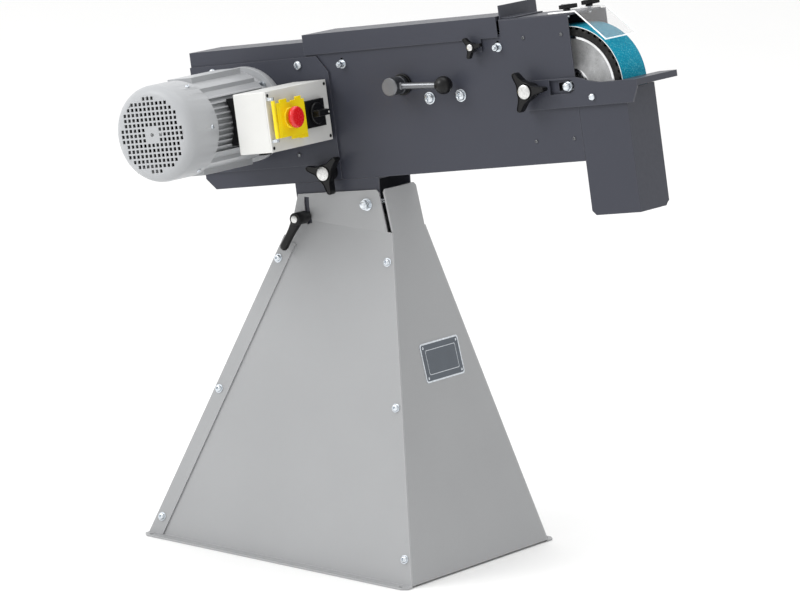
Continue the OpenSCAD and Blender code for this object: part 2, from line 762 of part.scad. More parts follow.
module contact_hub() color(cast) head_frame() difference() {
    union() {
        ring_y(0, 0, tyre_in, 79, -belt_w / 2, belt_w / 2);
        rod_y(0, 0, 80, -25, -13);
        rod_y(0, 0, 28, -32, 32);
    }
    rod_y(0, 0, 21.02, -60, -17);
    rod_y(0, 0, 21.02, 17, 60);
    rod_y(0, 0, 13, -60, 60);
}

// Rubber tyre with slanted grooves across its face
module contact_tyre() color(black) head_frame() difference() {
    ring_y(0, 0, wheel_r, tyre_in + 0.01, -belt_w / 2, belt_w / 2);
    for (i = [0 : 47]) rotate([0, i * 7.5, 0]) translate([0, 0, wheel_r])
        rotate([0, 0, 30]) block([-2.5, -60, -7], [2.5, 60, 3]);
}

module contact_bearings() color(zinc) head_frame() {
    for (y = [-30, 18]) ring_y(0, 0, 21, axle_r + 0.05, y, y + 12);
}

// Eccentric lever that draws the contact wheel back to slacken the belt
module tension_lever() color(zinc) head_frame() {
    droop = 3;
    rod_y(lever_at[0], lever_at[1], 8, -head_b - 8, 35);
    rod_y(lever_at[0], lever_at[1], 16, -head_b - 43, -head_b - 6);
    rod_y(lever_at[0], lever_at[1], 15.2, 35, 38);
    rod_y(lever_at[0] + 7.78, lever_at[1] + 7.78, 4, 37, arm_y1 + 1);
    translate([lever_at[0], -head_b - 27, lever_at[1]]) rotate([0, 90 + droop, 0]) {
        cylinder(r = 5, h = 94);
        translate([0, 0, 104]) sphere(r = 16);
    }
}

// ---------- covers, rest and guard ----------

hinge_y = head_b + 7;
hinge_z = 84;
hinge_r = 4;
hinge_xs = [cover_x0 + 60, cover_x1 - 60];
cover_b = head_b + 3.7;
cover_sheet = 2;
cover_top = 130;
lip_z = 94;

// Hinged cover over the flat grinding side of the belt
module belt_cover() color(slate) head_frame() {
    in = cover_b - cover_sheet;
    under = cover_top - cover_sheet;
    difference() {
        union() {
            block([cover_x0, -cover_b, under], [cover_x1, cover_b, cover_top]);
            for (y = [-cover_b, in]) block([cover_x0, y, lip_z], [cover_x1, y + cover_sheet, under]);
            for (x = [cover_x0, cover_x1 - 2]) block([x, -in, 122.5], [x + 2, in, under]);
            block([cover_stud[0] - 13, -cover_b, 72], [cover_stud[0] + 13, -in, lip_z]);
        }
        slab_y(-60, -48) translate([cover_stud[0] - 3.4, 60]) square([6.8, cover_stud[1] + 3.4 - 60]);
    }
    for (x = hinge_xs) difference() {
        union() {
            translate([x - 9, hinge_y, hinge_z]) rotate([0, 90, 0]) cylinder(r = hinge_r, h = 18);
            block([x - 9, in, hinge_z - 2], [x + 9, hinge_y - 2.5, lip_z + 2]);
        }
        translate([x - 10, hinge_y, hinge_z]) rotate([0, 90, 0]) cylinder(r = 2.05, h = 20);
    }
}

// Cover hinges on the back panel and the flap's hinge on the lid
module hinge_pins() color(zinc) head_frame() {
    for (x = hinge_xs) {
        translate([x - 20, hinge_y, hinge_z]) rotate([0, 90, 0]) cylinder(r = 2, h = 40);
        for (x0 = [x - 20, x + 9.5]) {
            translate([x0, hinge_y, hinge_z]) rotate([0, 90, 0]) cylinder(r = hinge_r, h = 10.5);
            block([x0, head_b, hinge_z - 26], [x0 + 10.5, head_b + 2, hinge_z]);
            block([x0, head_b, hinge_z - 4], [x0 + 10.5, hinge_y, hinge_z - 1]);
        }
    }
    translate([flap_x - 1.5, flap_y0 + 2, -flap_z - 6]) cylinder(r = 1.5, h = 2 * flap_z + 12);
    for (z = [-flap_z - 6, flap_z + 1]) block([box_x1, flap_y0 - 1, z], [flap_x - 1, flap_y0 + 5, z + 5]);
}

module cover_knob() color(black) head_frame() star_knob(cover_stud[0], cover_stud[1], -cover_b - 1, 21,
    8, 3.4, 8);

rest_y0 = -head_b - 6.5;

module work_rest() color(slate) head_frame() {
    slab_y(rest_y0, rest_y0 + 4) difference() {
        polygon([
            [-92, -36], [127, -36], [140, -8], [140, 3], [104, 3], [64, 3], [42, 7], [20, 14], [-34,
                15], [-92, 15]
        ]);
        translate([-100, rest_stud[1] - 5.5]) square([100 + rest_stud[0] + 6, 11]);
        translate([-38, -12]) square([39, 24]);
        translate([1, 0]) circle(r = 12);
    }
    block([104, rest_y0, -1], [140, 74, 3]);
    block([137, rest_y0, -8], [140, 74, -1]);
    pan_screw(46.6, -21.4, 6, rest_y0, 4.5, 2);
}

module rest_knob() color(black) head_frame() star_knob(rest_stud[0], rest_stud[1], rest_y0 - 0.2, 39,
    14, 5.5, 2);

module tracking_knob() color(black) head_frame()
    star_knob(track_stud[0], track_stud[1], flange_y - 0.2, 39, 14, 5.5, 42);

guard_t = 3;
guard_travel = 15;

// Clear guard: a flat part under the knobs and a part that slopes over the belt
module spark_guard() color([0.8, 0.9, 0.95, 0.4]) head_frame() {
    z0 = top_z + 2.2;
    slope = [55, -51];
    thick = guard_t;
    difference() {
        slab_y(-head_b, head_b) polygon([
            [-26, z0], [28, z0], [28 + slope[0], z0 + slope[1]],
            [28 + slope[0] + thick * 0.68, z0 + slope[1] + thick * 0.73], [28 + thick * 0.4,
                z0 + thick], [-26, z0 + thick]
        ]);
        for (s = [-1, 1]) translate([guard_knob_x, s * guard_knob_y, z0 - 1]) {
            translate([-guard_travel, -3.4, 0]) cube([guard_travel, 6.8, 6]);
            for (x = [-guard_travel, 0]) translate([x, 0, 0]) cylinder(r = 3.4, h = 6);
        }
    }
}

// Low three-lobe knob standing up on a guard stud
module guard_knob(y) {
    translate([guard_knob_x, y, top_z + 5.4]) difference() {
        union() {
            cylinder(r = 6.5, h = 4);
            translate([0, 0, 4]) linear_extrude(8) star_outline(19, 8, 3.4, 25);
        }
        translate([0, 0, -1]) cylinder(r = 3.05, h = 11);
    }
}

module guard_knob_front() color(black) head_frame() guard_knob(-guard_knob_y);

module guard_knob_rear() color(black) head_frame() guard_knob(guard_knob_y);

lever_dir = 244;

// Adjustable clamping lever of the tilt lock
module clamp_lever() color(black) head_frame() {
    aim = lever_dir - head_tilt;
    difference() {
        union() {
            rod_y(clamp_h[0], clamp_h[1], 8, -neck_b - 10, -neck_b - 1.7);
            rod_y(clamp_h[0], clamp_h[1], 11.5, -neck_b - 42, -neck_b - 8);
            translate([clamp_h[0], -neck_b - 26, clamp_h[1]]) rotate([90, 0,
                0]) linear_extrude(14) rotate(aim) {
                polygon([[0, -10], [30, -6.4], [58, -6], [58, 6], [30, 6.4], [0, 10]]);
                translate([58, 0]) circle(r = 6);
            }
        }
        rod_y(clamp_h[0], clamp_h[1], stud_half + 0.05, -neck_b - 25, 0);
    }
    rod_y(clamp_h[0], clamp_h[1], 6.5, -neck_b - 45, -neck_b - 42);
}

// ---------- controls ----------

flap_x = box_x1 + 12;
flap_y0 = -236;
flap_y1 = -146;
flap_z = 33;
mushroom_y = -196;
mushroom_z = -1;

// Hinged yellow flap that covers the two push buttons
module estop_flap() color("yellow") head_frame() difference() {
    union() {
        block([flap_x, flap_y0 + 4, -flap_z], [flap_x + 3, flap_y1, flap_z]);
        block([box_x1 + 1, flap_y1 - 14, -flap_z - 8], [flap_x, flap_y1, flap_z - 20]);
        translate([flap_x - 1.5, flap_y0 + 2, -flap_z]) cylinder(r = 3.5, h = 2 * flap_z);
    }
    translate([flap_x - 1.5, flap_y0 + 2, -flap_z - 1]) cylinder(r = 1.55, h = 2 * flap_z + 2);
    translate([flap_x - 12, mushroom_y, mushroom_z]) rotate([0, 90, 0]) cylinder(r = 8.06, h = 30);
}

module estop_button() color("red") head_frame() translate([flap_x, mushroom_y, mushroom_z]) rotate([0, 90, 0]) {
    translate([0, 0, -3]) cylinder(r = 8, h = 13);
    translate([0, 0, 10]) cylinder(r1 = mushroom_r - 4, r2 = mushroom_r, h = 4);
    translate([0, 0, 14]) cylinder(r = mushroom_r, h = 4);
    translate([0, 0, 18]) cylinder(r1 = mushroom_r, r2 = mushroom_r - 6, h = 4);
}

module push_button(y) {
    translate([box_x1 - 16, y, 0]) rotate([0, 90, 0]) cylinder(r = 10, h = 19);
}

module start_button() color("green") head_frame() push_button(button_y[1]);

module stop_button() color("red") head_frame() push_button(button_y[0]);

module selector_knob() color(black) head_frame() translate([box_x1 + 9.3, selector_y,
    selector_z]) rotate([0, 90, 0]) {
    translate([0, 0, -9]) cylinder(r = 4, h = 10);
    cylinder(r = 19, h = 5);
    translate([-17, -6, 5]) cube([34, 12, 14]);
}

stand_front_panel();
stand_back_panel();
stand_left_panel();
stand_right_panel();
stand_bolts();
badge_plate();
pivot_bolt();
saddle_bracket();
front_panel();
back_panel();
housing_wrap();
top_front_panel();
work_stop();
spark_chute();
spark_baffle();
platen();
platen_studs();
small_screws();
guide_bolts();
clamp_studs();
abrasive_belt();
lever_bush();
motor_plate();
motor_plate_bolts();
motor_flange();
motor_housing();
rear_end_shield();
stator_core();
motor_bearings();
fan_cover();
terminal_base();
cable_gland();
control_box();
control_lid();
selector_base();
hinge_pins();
motor_shaft();
rotor_core();
cooling_fan();
drive_wheel();
tension_arm();
contact_axle();
contact_hub();
contact_tyre();
contact_bearings();
tension_lever();
belt_cover();
cover_knob();
work_rest();
rest_knob();
tracking_knob();
spark_guard();
guard_knob_front();
guard_knob_rear();
clamp_lever();
estop_flap();
estop_button();
start_button();
stop_button();
selector_knob();
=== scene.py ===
"""Looks of the pedestal belt grinder: finishes and pieces on the CAD frame, floor, light and camera."""
import json
import math

import bmesh
import bpy
from mathutils import Matrix, Vector


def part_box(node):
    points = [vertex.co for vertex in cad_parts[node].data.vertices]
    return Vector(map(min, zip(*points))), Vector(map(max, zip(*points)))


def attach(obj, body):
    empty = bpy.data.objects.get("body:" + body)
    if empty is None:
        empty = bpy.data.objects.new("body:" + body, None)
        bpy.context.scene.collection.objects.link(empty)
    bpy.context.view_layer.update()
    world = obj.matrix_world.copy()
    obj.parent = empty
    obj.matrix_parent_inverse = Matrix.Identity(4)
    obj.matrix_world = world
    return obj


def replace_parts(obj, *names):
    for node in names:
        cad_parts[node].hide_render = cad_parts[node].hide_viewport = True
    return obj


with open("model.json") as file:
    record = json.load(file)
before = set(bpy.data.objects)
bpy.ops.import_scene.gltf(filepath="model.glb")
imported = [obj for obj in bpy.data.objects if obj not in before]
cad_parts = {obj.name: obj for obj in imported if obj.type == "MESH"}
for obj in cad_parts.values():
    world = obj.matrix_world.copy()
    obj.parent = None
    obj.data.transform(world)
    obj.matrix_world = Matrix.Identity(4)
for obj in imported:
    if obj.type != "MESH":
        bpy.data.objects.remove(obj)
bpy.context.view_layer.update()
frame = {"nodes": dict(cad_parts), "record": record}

MM = 0.001
nodes = frame["nodes"]
joints = {joint["name"]: joint for joint in frame["record"]["behaviour"]["joints"]}


def joint_at(name):
    return Vector(joints[name]["pos_m"])


# ---------- local frames ----------

# The head's own frame, in millimetres: origin on the contact wheel, X along the head, Z square to it
wheel_at = joint_at("contact_wheel_spin")
motor_at = joint_at("motor_spin")
wheel_at.y = motor_at.y = 0
along = (wheel_at - motor_at).normalized()
square = Vector((-along.z, 0, along.x))
WHEEL_GAP = (wheel_at - motor_at).length / MM
TILT = math.atan2(along.z, along.x)


def axes(origin, x, y, z):
    """Matrix from millimetres in a local frame to metres in the world."""
    turn = Matrix((x, y, z)).transposed().to_4x4()
    return Matrix.Translation(origin) @ turn @ Matrix.Scale(MM, 4)


HEAD = axes(wheel_at, along, Vector((0, 1, 0)), square)
WORLD = Matrix.Scale(MM, 4)
# For a mesh whose points are already in their places
IN_PLACE = Matrix.Identity(4)


def front(x, z, y=0.0):
    """Head frame point with local Z towards -Y, local X along the head and local Y up."""
    return HEAD @ Matrix.Translation((x, y, z)) @ Matrix.Rotation(math.radians(90), 4, "X")


def side(x, y, z):
    """Head frame point with local Z along the head, local X towards +Y and local Y up."""
    turn = Matrix(((0, 0, 1), (1, 0, 0), (0, 1, 0))).to_4x4()
    return HEAD @ Matrix.Translation((x, y, z)) @ turn


# ---------- finishes ----------


class Finish:
    """A node material that is built up one texture at a time, in the object's own coordinates."""

    def __init__(self, name, color, rough, metal=0.0, **sockets):
        self.mat = bpy.data.materials.new(name)
        self.mat.use_nodes = True
        self.tree = self.mat.node_tree
        self.shader = self.tree.nodes["Principled BSDF"]
        self.shader.inputs["Base Color"].default_value = (*color, 1)
        self.shader.inputs["Roughness"].default_value = rough
        self.shader.inputs["Metallic"].default_value = metal
        for key, value in sockets.items():
            self.shader.inputs[key.replace("_", " ")].default_value = value
        self.color = color
        self.rough = rough
        self.coords = self.add("ShaderNodeTexCoord").outputs["Object"]

    def add(self, kind, **settings):
        node = self.tree.nodes.new(kind)
        for key, value in settings.items():
            setattr(node, key, value)
        return node

    def link(self, source, target):
        self.tree.links.new(source, target)

    def stretched(self, scale):
        """Object coordinates scaled along each axis and turned by the head's tilt."""
        mapping = self.add("ShaderNodeMapping")
        mapping.inputs["Scale"].default_value = scale
        mapping.inputs["Rotation"].default_value = (0, TILT, 0)
        self.link(self.coords, mapping.inputs["Vector"])
        return mapping.outputs["Vector"]

    def noise(self, scale, detail=4.0, coords=None):
        node = self.add("ShaderNodeTexNoise")
        node.inputs["Scale"].default_value = scale
        node.inputs["Detail"].default_value = detail
        self.link(coords or self.coords, node.inputs["Vector"])
        return node.outputs["Fac"]

    def cells(self, scale, output="Distance"):
        node = self.add("ShaderNodeTexVoronoi")
        node.inputs["Scale"].default_value = scale
        self.link(self.coords, node.inputs["Vector"])
        return node.outputs[output]

    def spread(self, source, low, high, start=0.3, end=0.7):
        node = self.add("ShaderNodeMapRange")
        node.inputs["From Min"].default_value = start
        node.inputs["From Max"].default_value = end
        node.inputs["To Min"].default_value = low
        node.inputs["To Max"].default_value = high
        self.link(source, node.inputs["Value"])
        return node.outputs["Result"]

    def mix(self, factor, first, second):
        node = self.add("ShaderNodeMix", data_type="RGBA")
        self.link(factor, node.inputs["Factor"])
        for socket, value in ((node.inputs["A"], first), (node.inputs["B"], second)):
            if isinstance(value, tuple):
                socket.default_value = (*value, 1)
            else:
                self.link(value, socket)
        return node.outputs["Result"]

    def shades(self, scale, low, high, detail=4.0, coords=None):
        """Colour that drifts between two shades of the base colour."""
        dark = tuple(c * low for c in self.color)
        light = tuple(min(c * high, 1.0) for c in self.color)
        return self.mix(self.spread(self.noise(scale, detail, coords), 0, 1), dark, light)

    def paint(self, color):
        self.link(color, self.shader.inputs["Base Color"])
        return self

    def gloss(self, source, swing):
        low, high = max(self.rough - swing, 0.02), min(self.rough + swing, 1.0)
        self.link(self.spread(source, low, high), self.shader.inputs["Roughness"])
        return self

    def relief(self, *layers):
        """Bump from (height output, depth in millimetres) layers, the coarsest first."""
        normal = None
        for source, depth in layers:
            node = self.add("ShaderNodeBump")
            node.inputs["Strength"].default_value = 1.0
            node.inputs["Distance"].default_value = depth * MM
            self.link(source, node.inputs["Height"])
            if normal is not None:
                self.link(normal, node.inputs["Normal"])
            normal = node.outputs["Normal"]
        self.link(normal, self.shader.inputs["Normal"])
        return self

    def edges(self, width, color, under):
        """Lightens the edges of the metal: a painted highlight where the rounded edges would catch the light.
        """
        soft = self.add("ShaderNodeBevel", samples=4)
        soft.inputs["Radius"].default_value = width * MM
        flat = self.add("ShaderNodeNewGeometry")
        dot = self.add("ShaderNodeVectorMath", operation="DOT_PRODUCT")
        self.link(soft.outputs["Normal"], dot.inputs[0])
        self.link(flat.outputs["Normal"], dot.inputs[1])
        # Painted highlight: the mask is strongest where the rounded normal turns away from the flat face
        edge_highlight_mask = self.spread(dot.outputs["Value"], 1.0, 0.0, 0.80, 0.99)
        return self.mix(edge_highlight_mask, under, color)


def powder_coat(name, color, rough, edge, peel=0.05, grain=0.02):
    f = Finish(name, color, rough, Specular_IOR_Level=0.28, Coat_Weight=0.05, Coat_Roughness=0.25)
    tone = f.shades(5, 0.95, 1.05)
    speck = f.spread(f.noise(1900, 2), 0.0, 1.0, 0.35, 0.65)
    fine = f.mix(speck, tone, f.shades(2400, 0.86, 1.10, 2))
    # The edge colour is mixed in as a painted highlight along the edges
    f.paint(f.edges(1.6, edge, fine))
    f.gloss(f.noise(140, 3), 0.05)
    return f.relief((f.noise(420, 2), peel), (f.noise(1700, 2), grain)).mat


def plated(name, color, rough):
    f = Finish(name, color, rough, 1.0)
    f.paint(f.shades(260, 0.80, 1.12, 5))
    f.gloss(f.noise(500, 4), 0.10)
    return f.relief((f.noise(900, 3), 0.03), (f.noise(3200, 2), 0.01)).mat


def turned(name, color, rough):
    f = Finish(name, color, rough, 1.0)
    marks = f.noise(60, 5, f.stretched((1, 45, 1)))
    f.paint(f.mix(f.spread(marks, 0, 1), tuple(c * 0.82 for c in color), color))
    f.gloss(marks, 0.10)
    return f.relief((marks, 0.02)).mat


def cast_metal(name, color, rough):
    f = Finish(name, color, rough, 0.30)
    blotches = f.shades(70, 0.66, 1.14, 8)
    pits = f.spread(f.noise(520, 6), 0, 1, 0.40, 0.60)
    f.paint(f.mix(pits, blotches, f.shades(900, 0.75, 1.05, 3)))
    f.gloss(f.noise(240, 6), 0.14)
    return f.relief((f.noise(90, 4), 0.35), (f.noise(520, 6), 0.20)).mat


def moulded(name, color, rough, depth=0.02, coat=0.0, low=0.93, high=1.05, shine=0.5):
    f = Finish(name, color, rough, Specular_IOR_Level=shine, Coat_Weight=coat, Coat_Roughness=0.12)
    f.paint(f.shades(35, low, high, 5))
    f.gloss(f.noise(320, 4), 0.06)
    return f.relief((f.noise(1400, 3), depth)).mat


def rubber():
    f = Finish("tyre_rubber", (0.014, 0.014, 0.014), 0.75, Specular_IOR_Level=0.22)
    dust = f.spread(f.noise(180, 6), 0, 1, 0.50, 0.80)
    f.paint(f.mix(dust, f.shades(60, 0.7, 1.2), (0.036, 0.034, 0.032)))
    f.gloss(f.noise(300, 4), 0.12)
    return f.relief((f.noise(260, 5), 0.15), (f.noise(1500, 3), 0.05)).mat


def grit():
    f = Finish("abrasive_grit", (0.002, 0.200, 0.300), 0.78, Specular_IOR_Level=0.16)
    grains = f.cells(760, "Color")
    split = f.add("ShaderNodeSeparateColor")
    f.link(grains, split.inputs["Color"])
    dark = f.spread(split.outputs["Red"], 0, 1, 0.0, 1.0)
    body = f.mix(dark, (0.001, 0.175, 0.290), (0.003, 0.345, 0.490))
    cloudy = f.mix(f.spread(f.noise(45, 5), 0, 0.45), body, (0.001, 0.225, 0.345))
    light = f.spread(split.outputs["Green"], 0, 0.75, 0.86, 0.90)
    f.paint(f.mix(light, cloudy, (0.10, 0.46, 0.54)))
    f.gloss(f.noise(900, 3), 0.15)
    return f.relief((f.noise(160, 4), 0.12), (f.cells(760), 0.45)).mat


def cloth(name, color):
    f = Finish(name, color, 0.85)
    weave = f.noise(60, 2, f.stretched((24, 24, 24)))
    f.paint(f.mix(f.spread(weave, 0, 1), tuple(c * 0.8 for c in color), color))
    f.gloss(weave, 0.05)
    return f.relief((weave, 0.10)).mat


def clear_sheet():
    """Clear polycarbonate, see-through on its faces; the milky white cut edges are separate pieces."""
    f = Finish("clear_guard", (0.60, 0.595, 0.595), 0.08, IOR=1.45, Alpha=0.15)
    f.gloss(f.noise(60, 4), 0.03)
    f.relief((f.noise(240, 2), 0.01))
    return f.mat


def frosted_edge_painted_glow():
    # Frosted white cut edge; its emission is a painted glow for light caught in the edge of the sheet
    f = Finish("guard_edge", (0.95, 0.96, 0.96), 0.35, Emission_Color=(1, 1, 1, 1), Emission_Strength=0.35)
    f.paint(f.shades(220, 0.94, 1.05))
    return f.relief((f.noise(900, 3), 0.04)).mat


# The last colour of each powder coat is its painted edge highlight
slate = powder_coat("head_paint", (0.042, 0.045, 0.060), 0.42, (0.105, 0.108, 0.122))
stand_grey = powder_coat("stand_paint", (0.345, 0.350, 0.357), 0.46, (0.50, 0.50, 0.51), 0.035, 0.012)
motor_grey = powder_coat("motor_paint", (0.415, 0.425, 0.438), 0.36, (0.54, 0.55, 0.56), 0.05, 0.015)
zinc = plated("zinc_plate", (0.70, 0.74, 0.78), 0.27)
steel = turned("ground_steel", (0.60, 0.61, 0.62), 0.26)
dull_steel = turned("dull_steel", (0.20, 0.205, 0.215), 0.36)
mid_steel = turned("mid_steel", (0.19, 0.195, 0.205), 0.32)
aluminium = cast_metal("cast_aluminium", (0.50, 0.505, 0.51), 0.62)
machined = turned("machined_rim", (0.88, 0.89, 0.90), 0.24)
copper = plated("copper_winding", (0.72, 0.36, 0.18), 0.35)
tyre_rubber = rubber()
black = moulded("black_plastic", (0.0045, 0.0045, 0.005), 0.34, 0.02, 0.05, 0.8, 1.4, 0.25)
white = moulded("white_plastic", (0.70, 0.70, 0.68), 0.36, 0.015, 0.1, 0.98, 1.01)
yellow = moulded("yellow_plastic", (0.93, 0.72, 0.004), 0.36, 0.015, 0.1)
red = moulded("red_plastic", (0.72, 0.008, 0.012), 0.26, 0.01, 0.4)
green = moulded("green_plastic", (0.02, 0.36, 0.09), 0.32, 0.01, 0.3)
silver_cap = plated("brushed_cap", (0.66, 0.66, 0.65), 0.34)
dark_recess = moulded("dark_recess", (0.006, 0.006, 0.007), 0.55, shine=0.2)
grit_face = grit()
belt_back = cloth("belt_cloth", (0.55, 0.50, 0.40))
belt_edge = cloth("belt_edge", (0.86, 0.90, 0.90))
guard_clear = clear_sheet()
frosted_guard_edge_glow = frosted_edge_painted_glow()
badge_field = moulded("badge_field", (0.060, 0.075, 0.095), 0.36, 0.01, 0.2)

SLOT_FINISH = {
    "stand_paint": stand_grey, "head_paint": slate, "motor_paint": motor_grey, "zinc": zinc,
    "steel": steel, "cast_aluminium": aluminium, "copper": copper, "rubber": tyre_rubber,
    "abrasive": grit_face, "black_plastic": black, "white_plastic": white,
    "yellow_plastic": yellow, "red_plastic": red, "green_plastic": green,
    "clear_guard": guard_clear, "badge": badge_field,
}

# ---------- finishes and rounded edges on the CAD nodes ----------

# Width in millimetres of the rounded edges on the CAD nodes that stay visible
EDGE_WIDTH = {
    "stand_front_panel": 0.9, "stand_back_panel": 0.9, "stand_left_panel": 0.9, "stand_right_panel": 0.9,
    "front_panel": 0.7, "back_panel": 0.7, "housing_wrap": 0.7, "top_front_panel": 0.7, "work_stop": 0.7,
    "spark_chute": 1.6, "spark_baffle": 0.5, "motor_plate": 0.9, "saddle_bracket": 0.9,
    "belt_cover": 0.6, "work_rest": 0.9, "motor_flange": 1.2, "motor_housing": 0.5,
    "rear_end_shield": 1.0, "fan_cover": 0.35, "terminal_base": 1.5, "control_box": 2.6,
    "control_lid": 1.3, "selector_base": 2.2, "lever_bush": 1.0, "cable_gland": 0.6,
    "drive_wheel": 0.8, "tension_arm": 0.6, "platen": 0.5, "start_button": 1.0, "stop_button": 1.0,
    "contact_tyre": 0.25, "spark_guard": 0.25,
}


WELD_GAP = 0.01
FLAT_ANGLE = 0.6
SHARP_ANGLE = 32
EDGE_STEPS = 3


def add_bevel(obj, width):
    """Rounds the sharp edges of an object over a width in millimetres."""
    bevel = obj.modifiers.new("bevel", "BEVEL")
    bevel.width = width * MM
    bevel.segments = EDGE_STEPS
    bevel.limit_method = "ANGLE"
    bevel.angle_limit = math.radians(SHARP_ANGLE)
    bevel.harden_normals = True


def round_edges(obj, width):
    """Joins the triangles of a CAD mesh into flat faces, so that only true edges are rounded."""
    weld = obj.modifiers.new("weld", "WELD")
    weld.merge_threshold = WELD_GAP * MM
    flat = obj.modifiers.new("flat", "DECIMATE")
    flat.decimate_type = "DISSOLVE"
    flat.angle_limit = math.radians(FLAT_ANGLE)
    add_bevel(obj, width)


slots_of = {part["node"]: part["material_slot"] for part in frame["record"]["subparts"]}
for name, obj in nodes.items():
    obj.data.materials.clear()
    obj.data.materials.append(SLOT_FINISH[slots_of[name]])
    if name in EDGE_WIDTH:
        round_edges(obj, EDGE_WIDTH[name])

# ---------- mesh pieces ----------


def rings(bm, stations, count=48, material=0):
    """Skins a stack of closed rings about local Z; a station is (radius or function of the angle, z)."""
    loops = []
    for radius, z in stations:
        row = []
        for i in range(count):
            a = 2 * math.pi * i / count
            r = radius(a) if callable(radius) else radius
            row.append(bm.verts.new((r * math.cos(a), r * math.sin(a), z)))
        loops.append(row)
    faces = [bm.faces.new(reversed(loops[0])), bm.faces.new(loops[-1])]
    for low, high in zip(loops, loops[1:]):
        for i in range(count):
            j = (i + 1) % count
            faces.append(bm.faces.new((low[i], low[j], high[j], high[i])))
    for face in faces:
        face.material_index = material
    return [v for row in loops for v in row]


def tube(bm, profile, count=96, materials=None):
    """Turns a closed (radius, z) profile about local Z; materials gives each side's material index."""
    loops = [
        [bm.verts.new((r * math.cos(t), r * math.sin(t), z)) for r, z in profile]
        for t in (2 * math.pi * i / count for i in range(count))
    ]
    size = len(profile)
    for i in range(count):
        here, there = loops[i], loops[(i + 1) % count]
        for k in range(size):
            m = (k + 1) % size
            face = bm.faces.new((here[k], there[k], there[m], here[m]))
            face.material_index = materials[k] if materials else 0
    return [v for row in loops for v in row]


def prism(bm, outline, z0, z1, material=0):
    """Closed prism over an (x, y) outline."""
    low = [bm.verts.new((x, y, z0)) for x, y in outline]
    high = [bm.verts.new((x, y, z1)) for x, y in outline]
    faces = [bm.faces.new(reversed(low)), bm.faces.new(high)]
    for i in range(len(outline)):
        j = (i + 1) % len(outline)
        faces.append(bm.faces.new((low[i], low[j], high[j], high[i])))
    for face in faces:
        face.material_index = material
    return low + high


def moved(verts, matrix):
    for v in verts:
        v.co = matrix @ v.co


def hexagon(flats):
    """Radius function of a hexagon that is given across its flats."""
    def radius(a):
        return flats / 2 / math.cos((a + math.pi / 6) % (math.pi / 3) - math.pi / 6)
    return radius


def box_radius(half_x, half_y):
    """Radius function of a rectangle."""
    def radius(a):
        c, s = abs(math.cos(a)), abs(math.sin(a))
        return min(half_x / max(c, 1e-6), half_y / max(s, 1e-6))
    return radius


def cross_radius(reach, half):
    """Radius function of a cross recess."""
    flat, upright = box_radius(reach, half), box_radius(half, reach)
    return lambda a: max(flat(a), upright(a))


LOBES = 3
HALVINGS = 24


def star_radius(reach, hub_r, tip_r, turn):
    """Radius function of a three-lobed star with hollow sides, found by halving along each ray."""
    reach_mid = reach - tip_r
    blend = hub_r * 0.45

    def depth(x, y):
        d = math.hypot(x, y) - hub_r * 0.94
        for lobe in range(LOBES):
            a = math.radians(turn + 360 / LOBES * lobe)
            u = x * math.cos(a) + y * math.sin(a)
            v = y * math.cos(a) - x * math.sin(a)
            t = min(max(u / reach_mid, 0), 1)
            arm = math.hypot(u - t * reach_mid, v) - (hub_r * 0.62 * (1 - t) + tip_r * t)
            h = max(blend - abs(d - arm), 0) / blend
            d = min(d, arm) - h * h * blend * 0.25
        return d

    def radius(a):
        low, high = 0.0, reach * 1.1
        for _ in range(HALVINGS):
            mid = (low + high) / 2
            if depth(mid * math.cos(a), mid * math.sin(a)) < 0:
                low = mid
            else:
                high = mid
        return low
    return radius


def inset(radius, by):
    return lambda a: max(radius(a) - by, 0.2)


def piece(name, bm, matrix, body, slot, *materials, smooth=35.0, bevel=0.0):
    """Finishes a mesh: moves it into the world, shades it, and gives it its body."""
    bm.transform(matrix)
    bmesh.ops.recalc_face_normals(bm, faces=bm.faces)
    mesh = bpy.data.meshes.new(name)
    bm.to_mesh(mesh)
    bm.free()
    for material in materials:
        mesh.materials.append(material)
    mesh.shade_smooth()
    mesh.set_sharp_from_angle(angle=math.radians(smooth))
    obj = bpy.data.objects.new(name, mesh)
    bpy.context.scene.collection.objects.link(obj)
    if bevel:
        add_bevel(obj, bevel)
    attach(obj, body)
    return obj


# ---------- star knobs with metal caps ----------


def star_knob(node, matrix, reach, hub_r, tip_r, turn, foot, head, cap_rise=2.0):
    """Star knob along local Z from its foot at 0, with a raised rim round its lobes and a domed cap."""
    k = reach / 39
    star = star_radius(reach, hub_r, tip_r, turn)
    top = foot + head
    boss = hub_r * 0.80
    bm = bmesh.new()
    rings(bm, [
        (boss - 0.6, 0), (boss, 0.6), (boss * 0.97, foot * 0.5), (boss * 1.0, foot - 0.8),
        (inset(star, 2.2 * k), foot), (inset(star, 0.8 * k), foot + 0.5 * k), (star, foot + 2.2 * k),
        (star, top - 2.4 * k), (inset(star, 0.5 * k), top - 1.0 * k), (inset(star, 1.3 * k), top - 0.6 * k),
        (inset(star, 1.9 * k), top - 0.9 * k), (inset(star, 2.5 * k), top - 2.2 * k),
        (boss * 0.98, top - 2.4 * k), (boss * 0.94, top - 0.4 * k), (boss * 0.90, top)
    ], 120)
    body = piece(node + "_grip", bm, matrix, node, "black_plastic", black, smooth=40)
    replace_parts(body, node)
    bm = bmesh.new()
    cap = hub_r * 0.74
    rings(bm, [
        (cap - 0.4, top - 0.5), (cap, top + 0.1), (cap, top + cap_rise * 0.3),
        (cap * 0.93, top + cap_rise * 0.62), (cap * 0.7, top + cap_rise * 0.86),
        (cap * 0.35, top + cap_rise * 0.97), (cap * 0.05, top + cap_rise)
    ], 64)
    piece(node + "_cap", bm, matrix, node, "zinc", silver_cap)


def on_axis(name):
    """Millimetres of a joint's origin in the head frame."""
    return HEAD.inverted() @ joint_at(name)


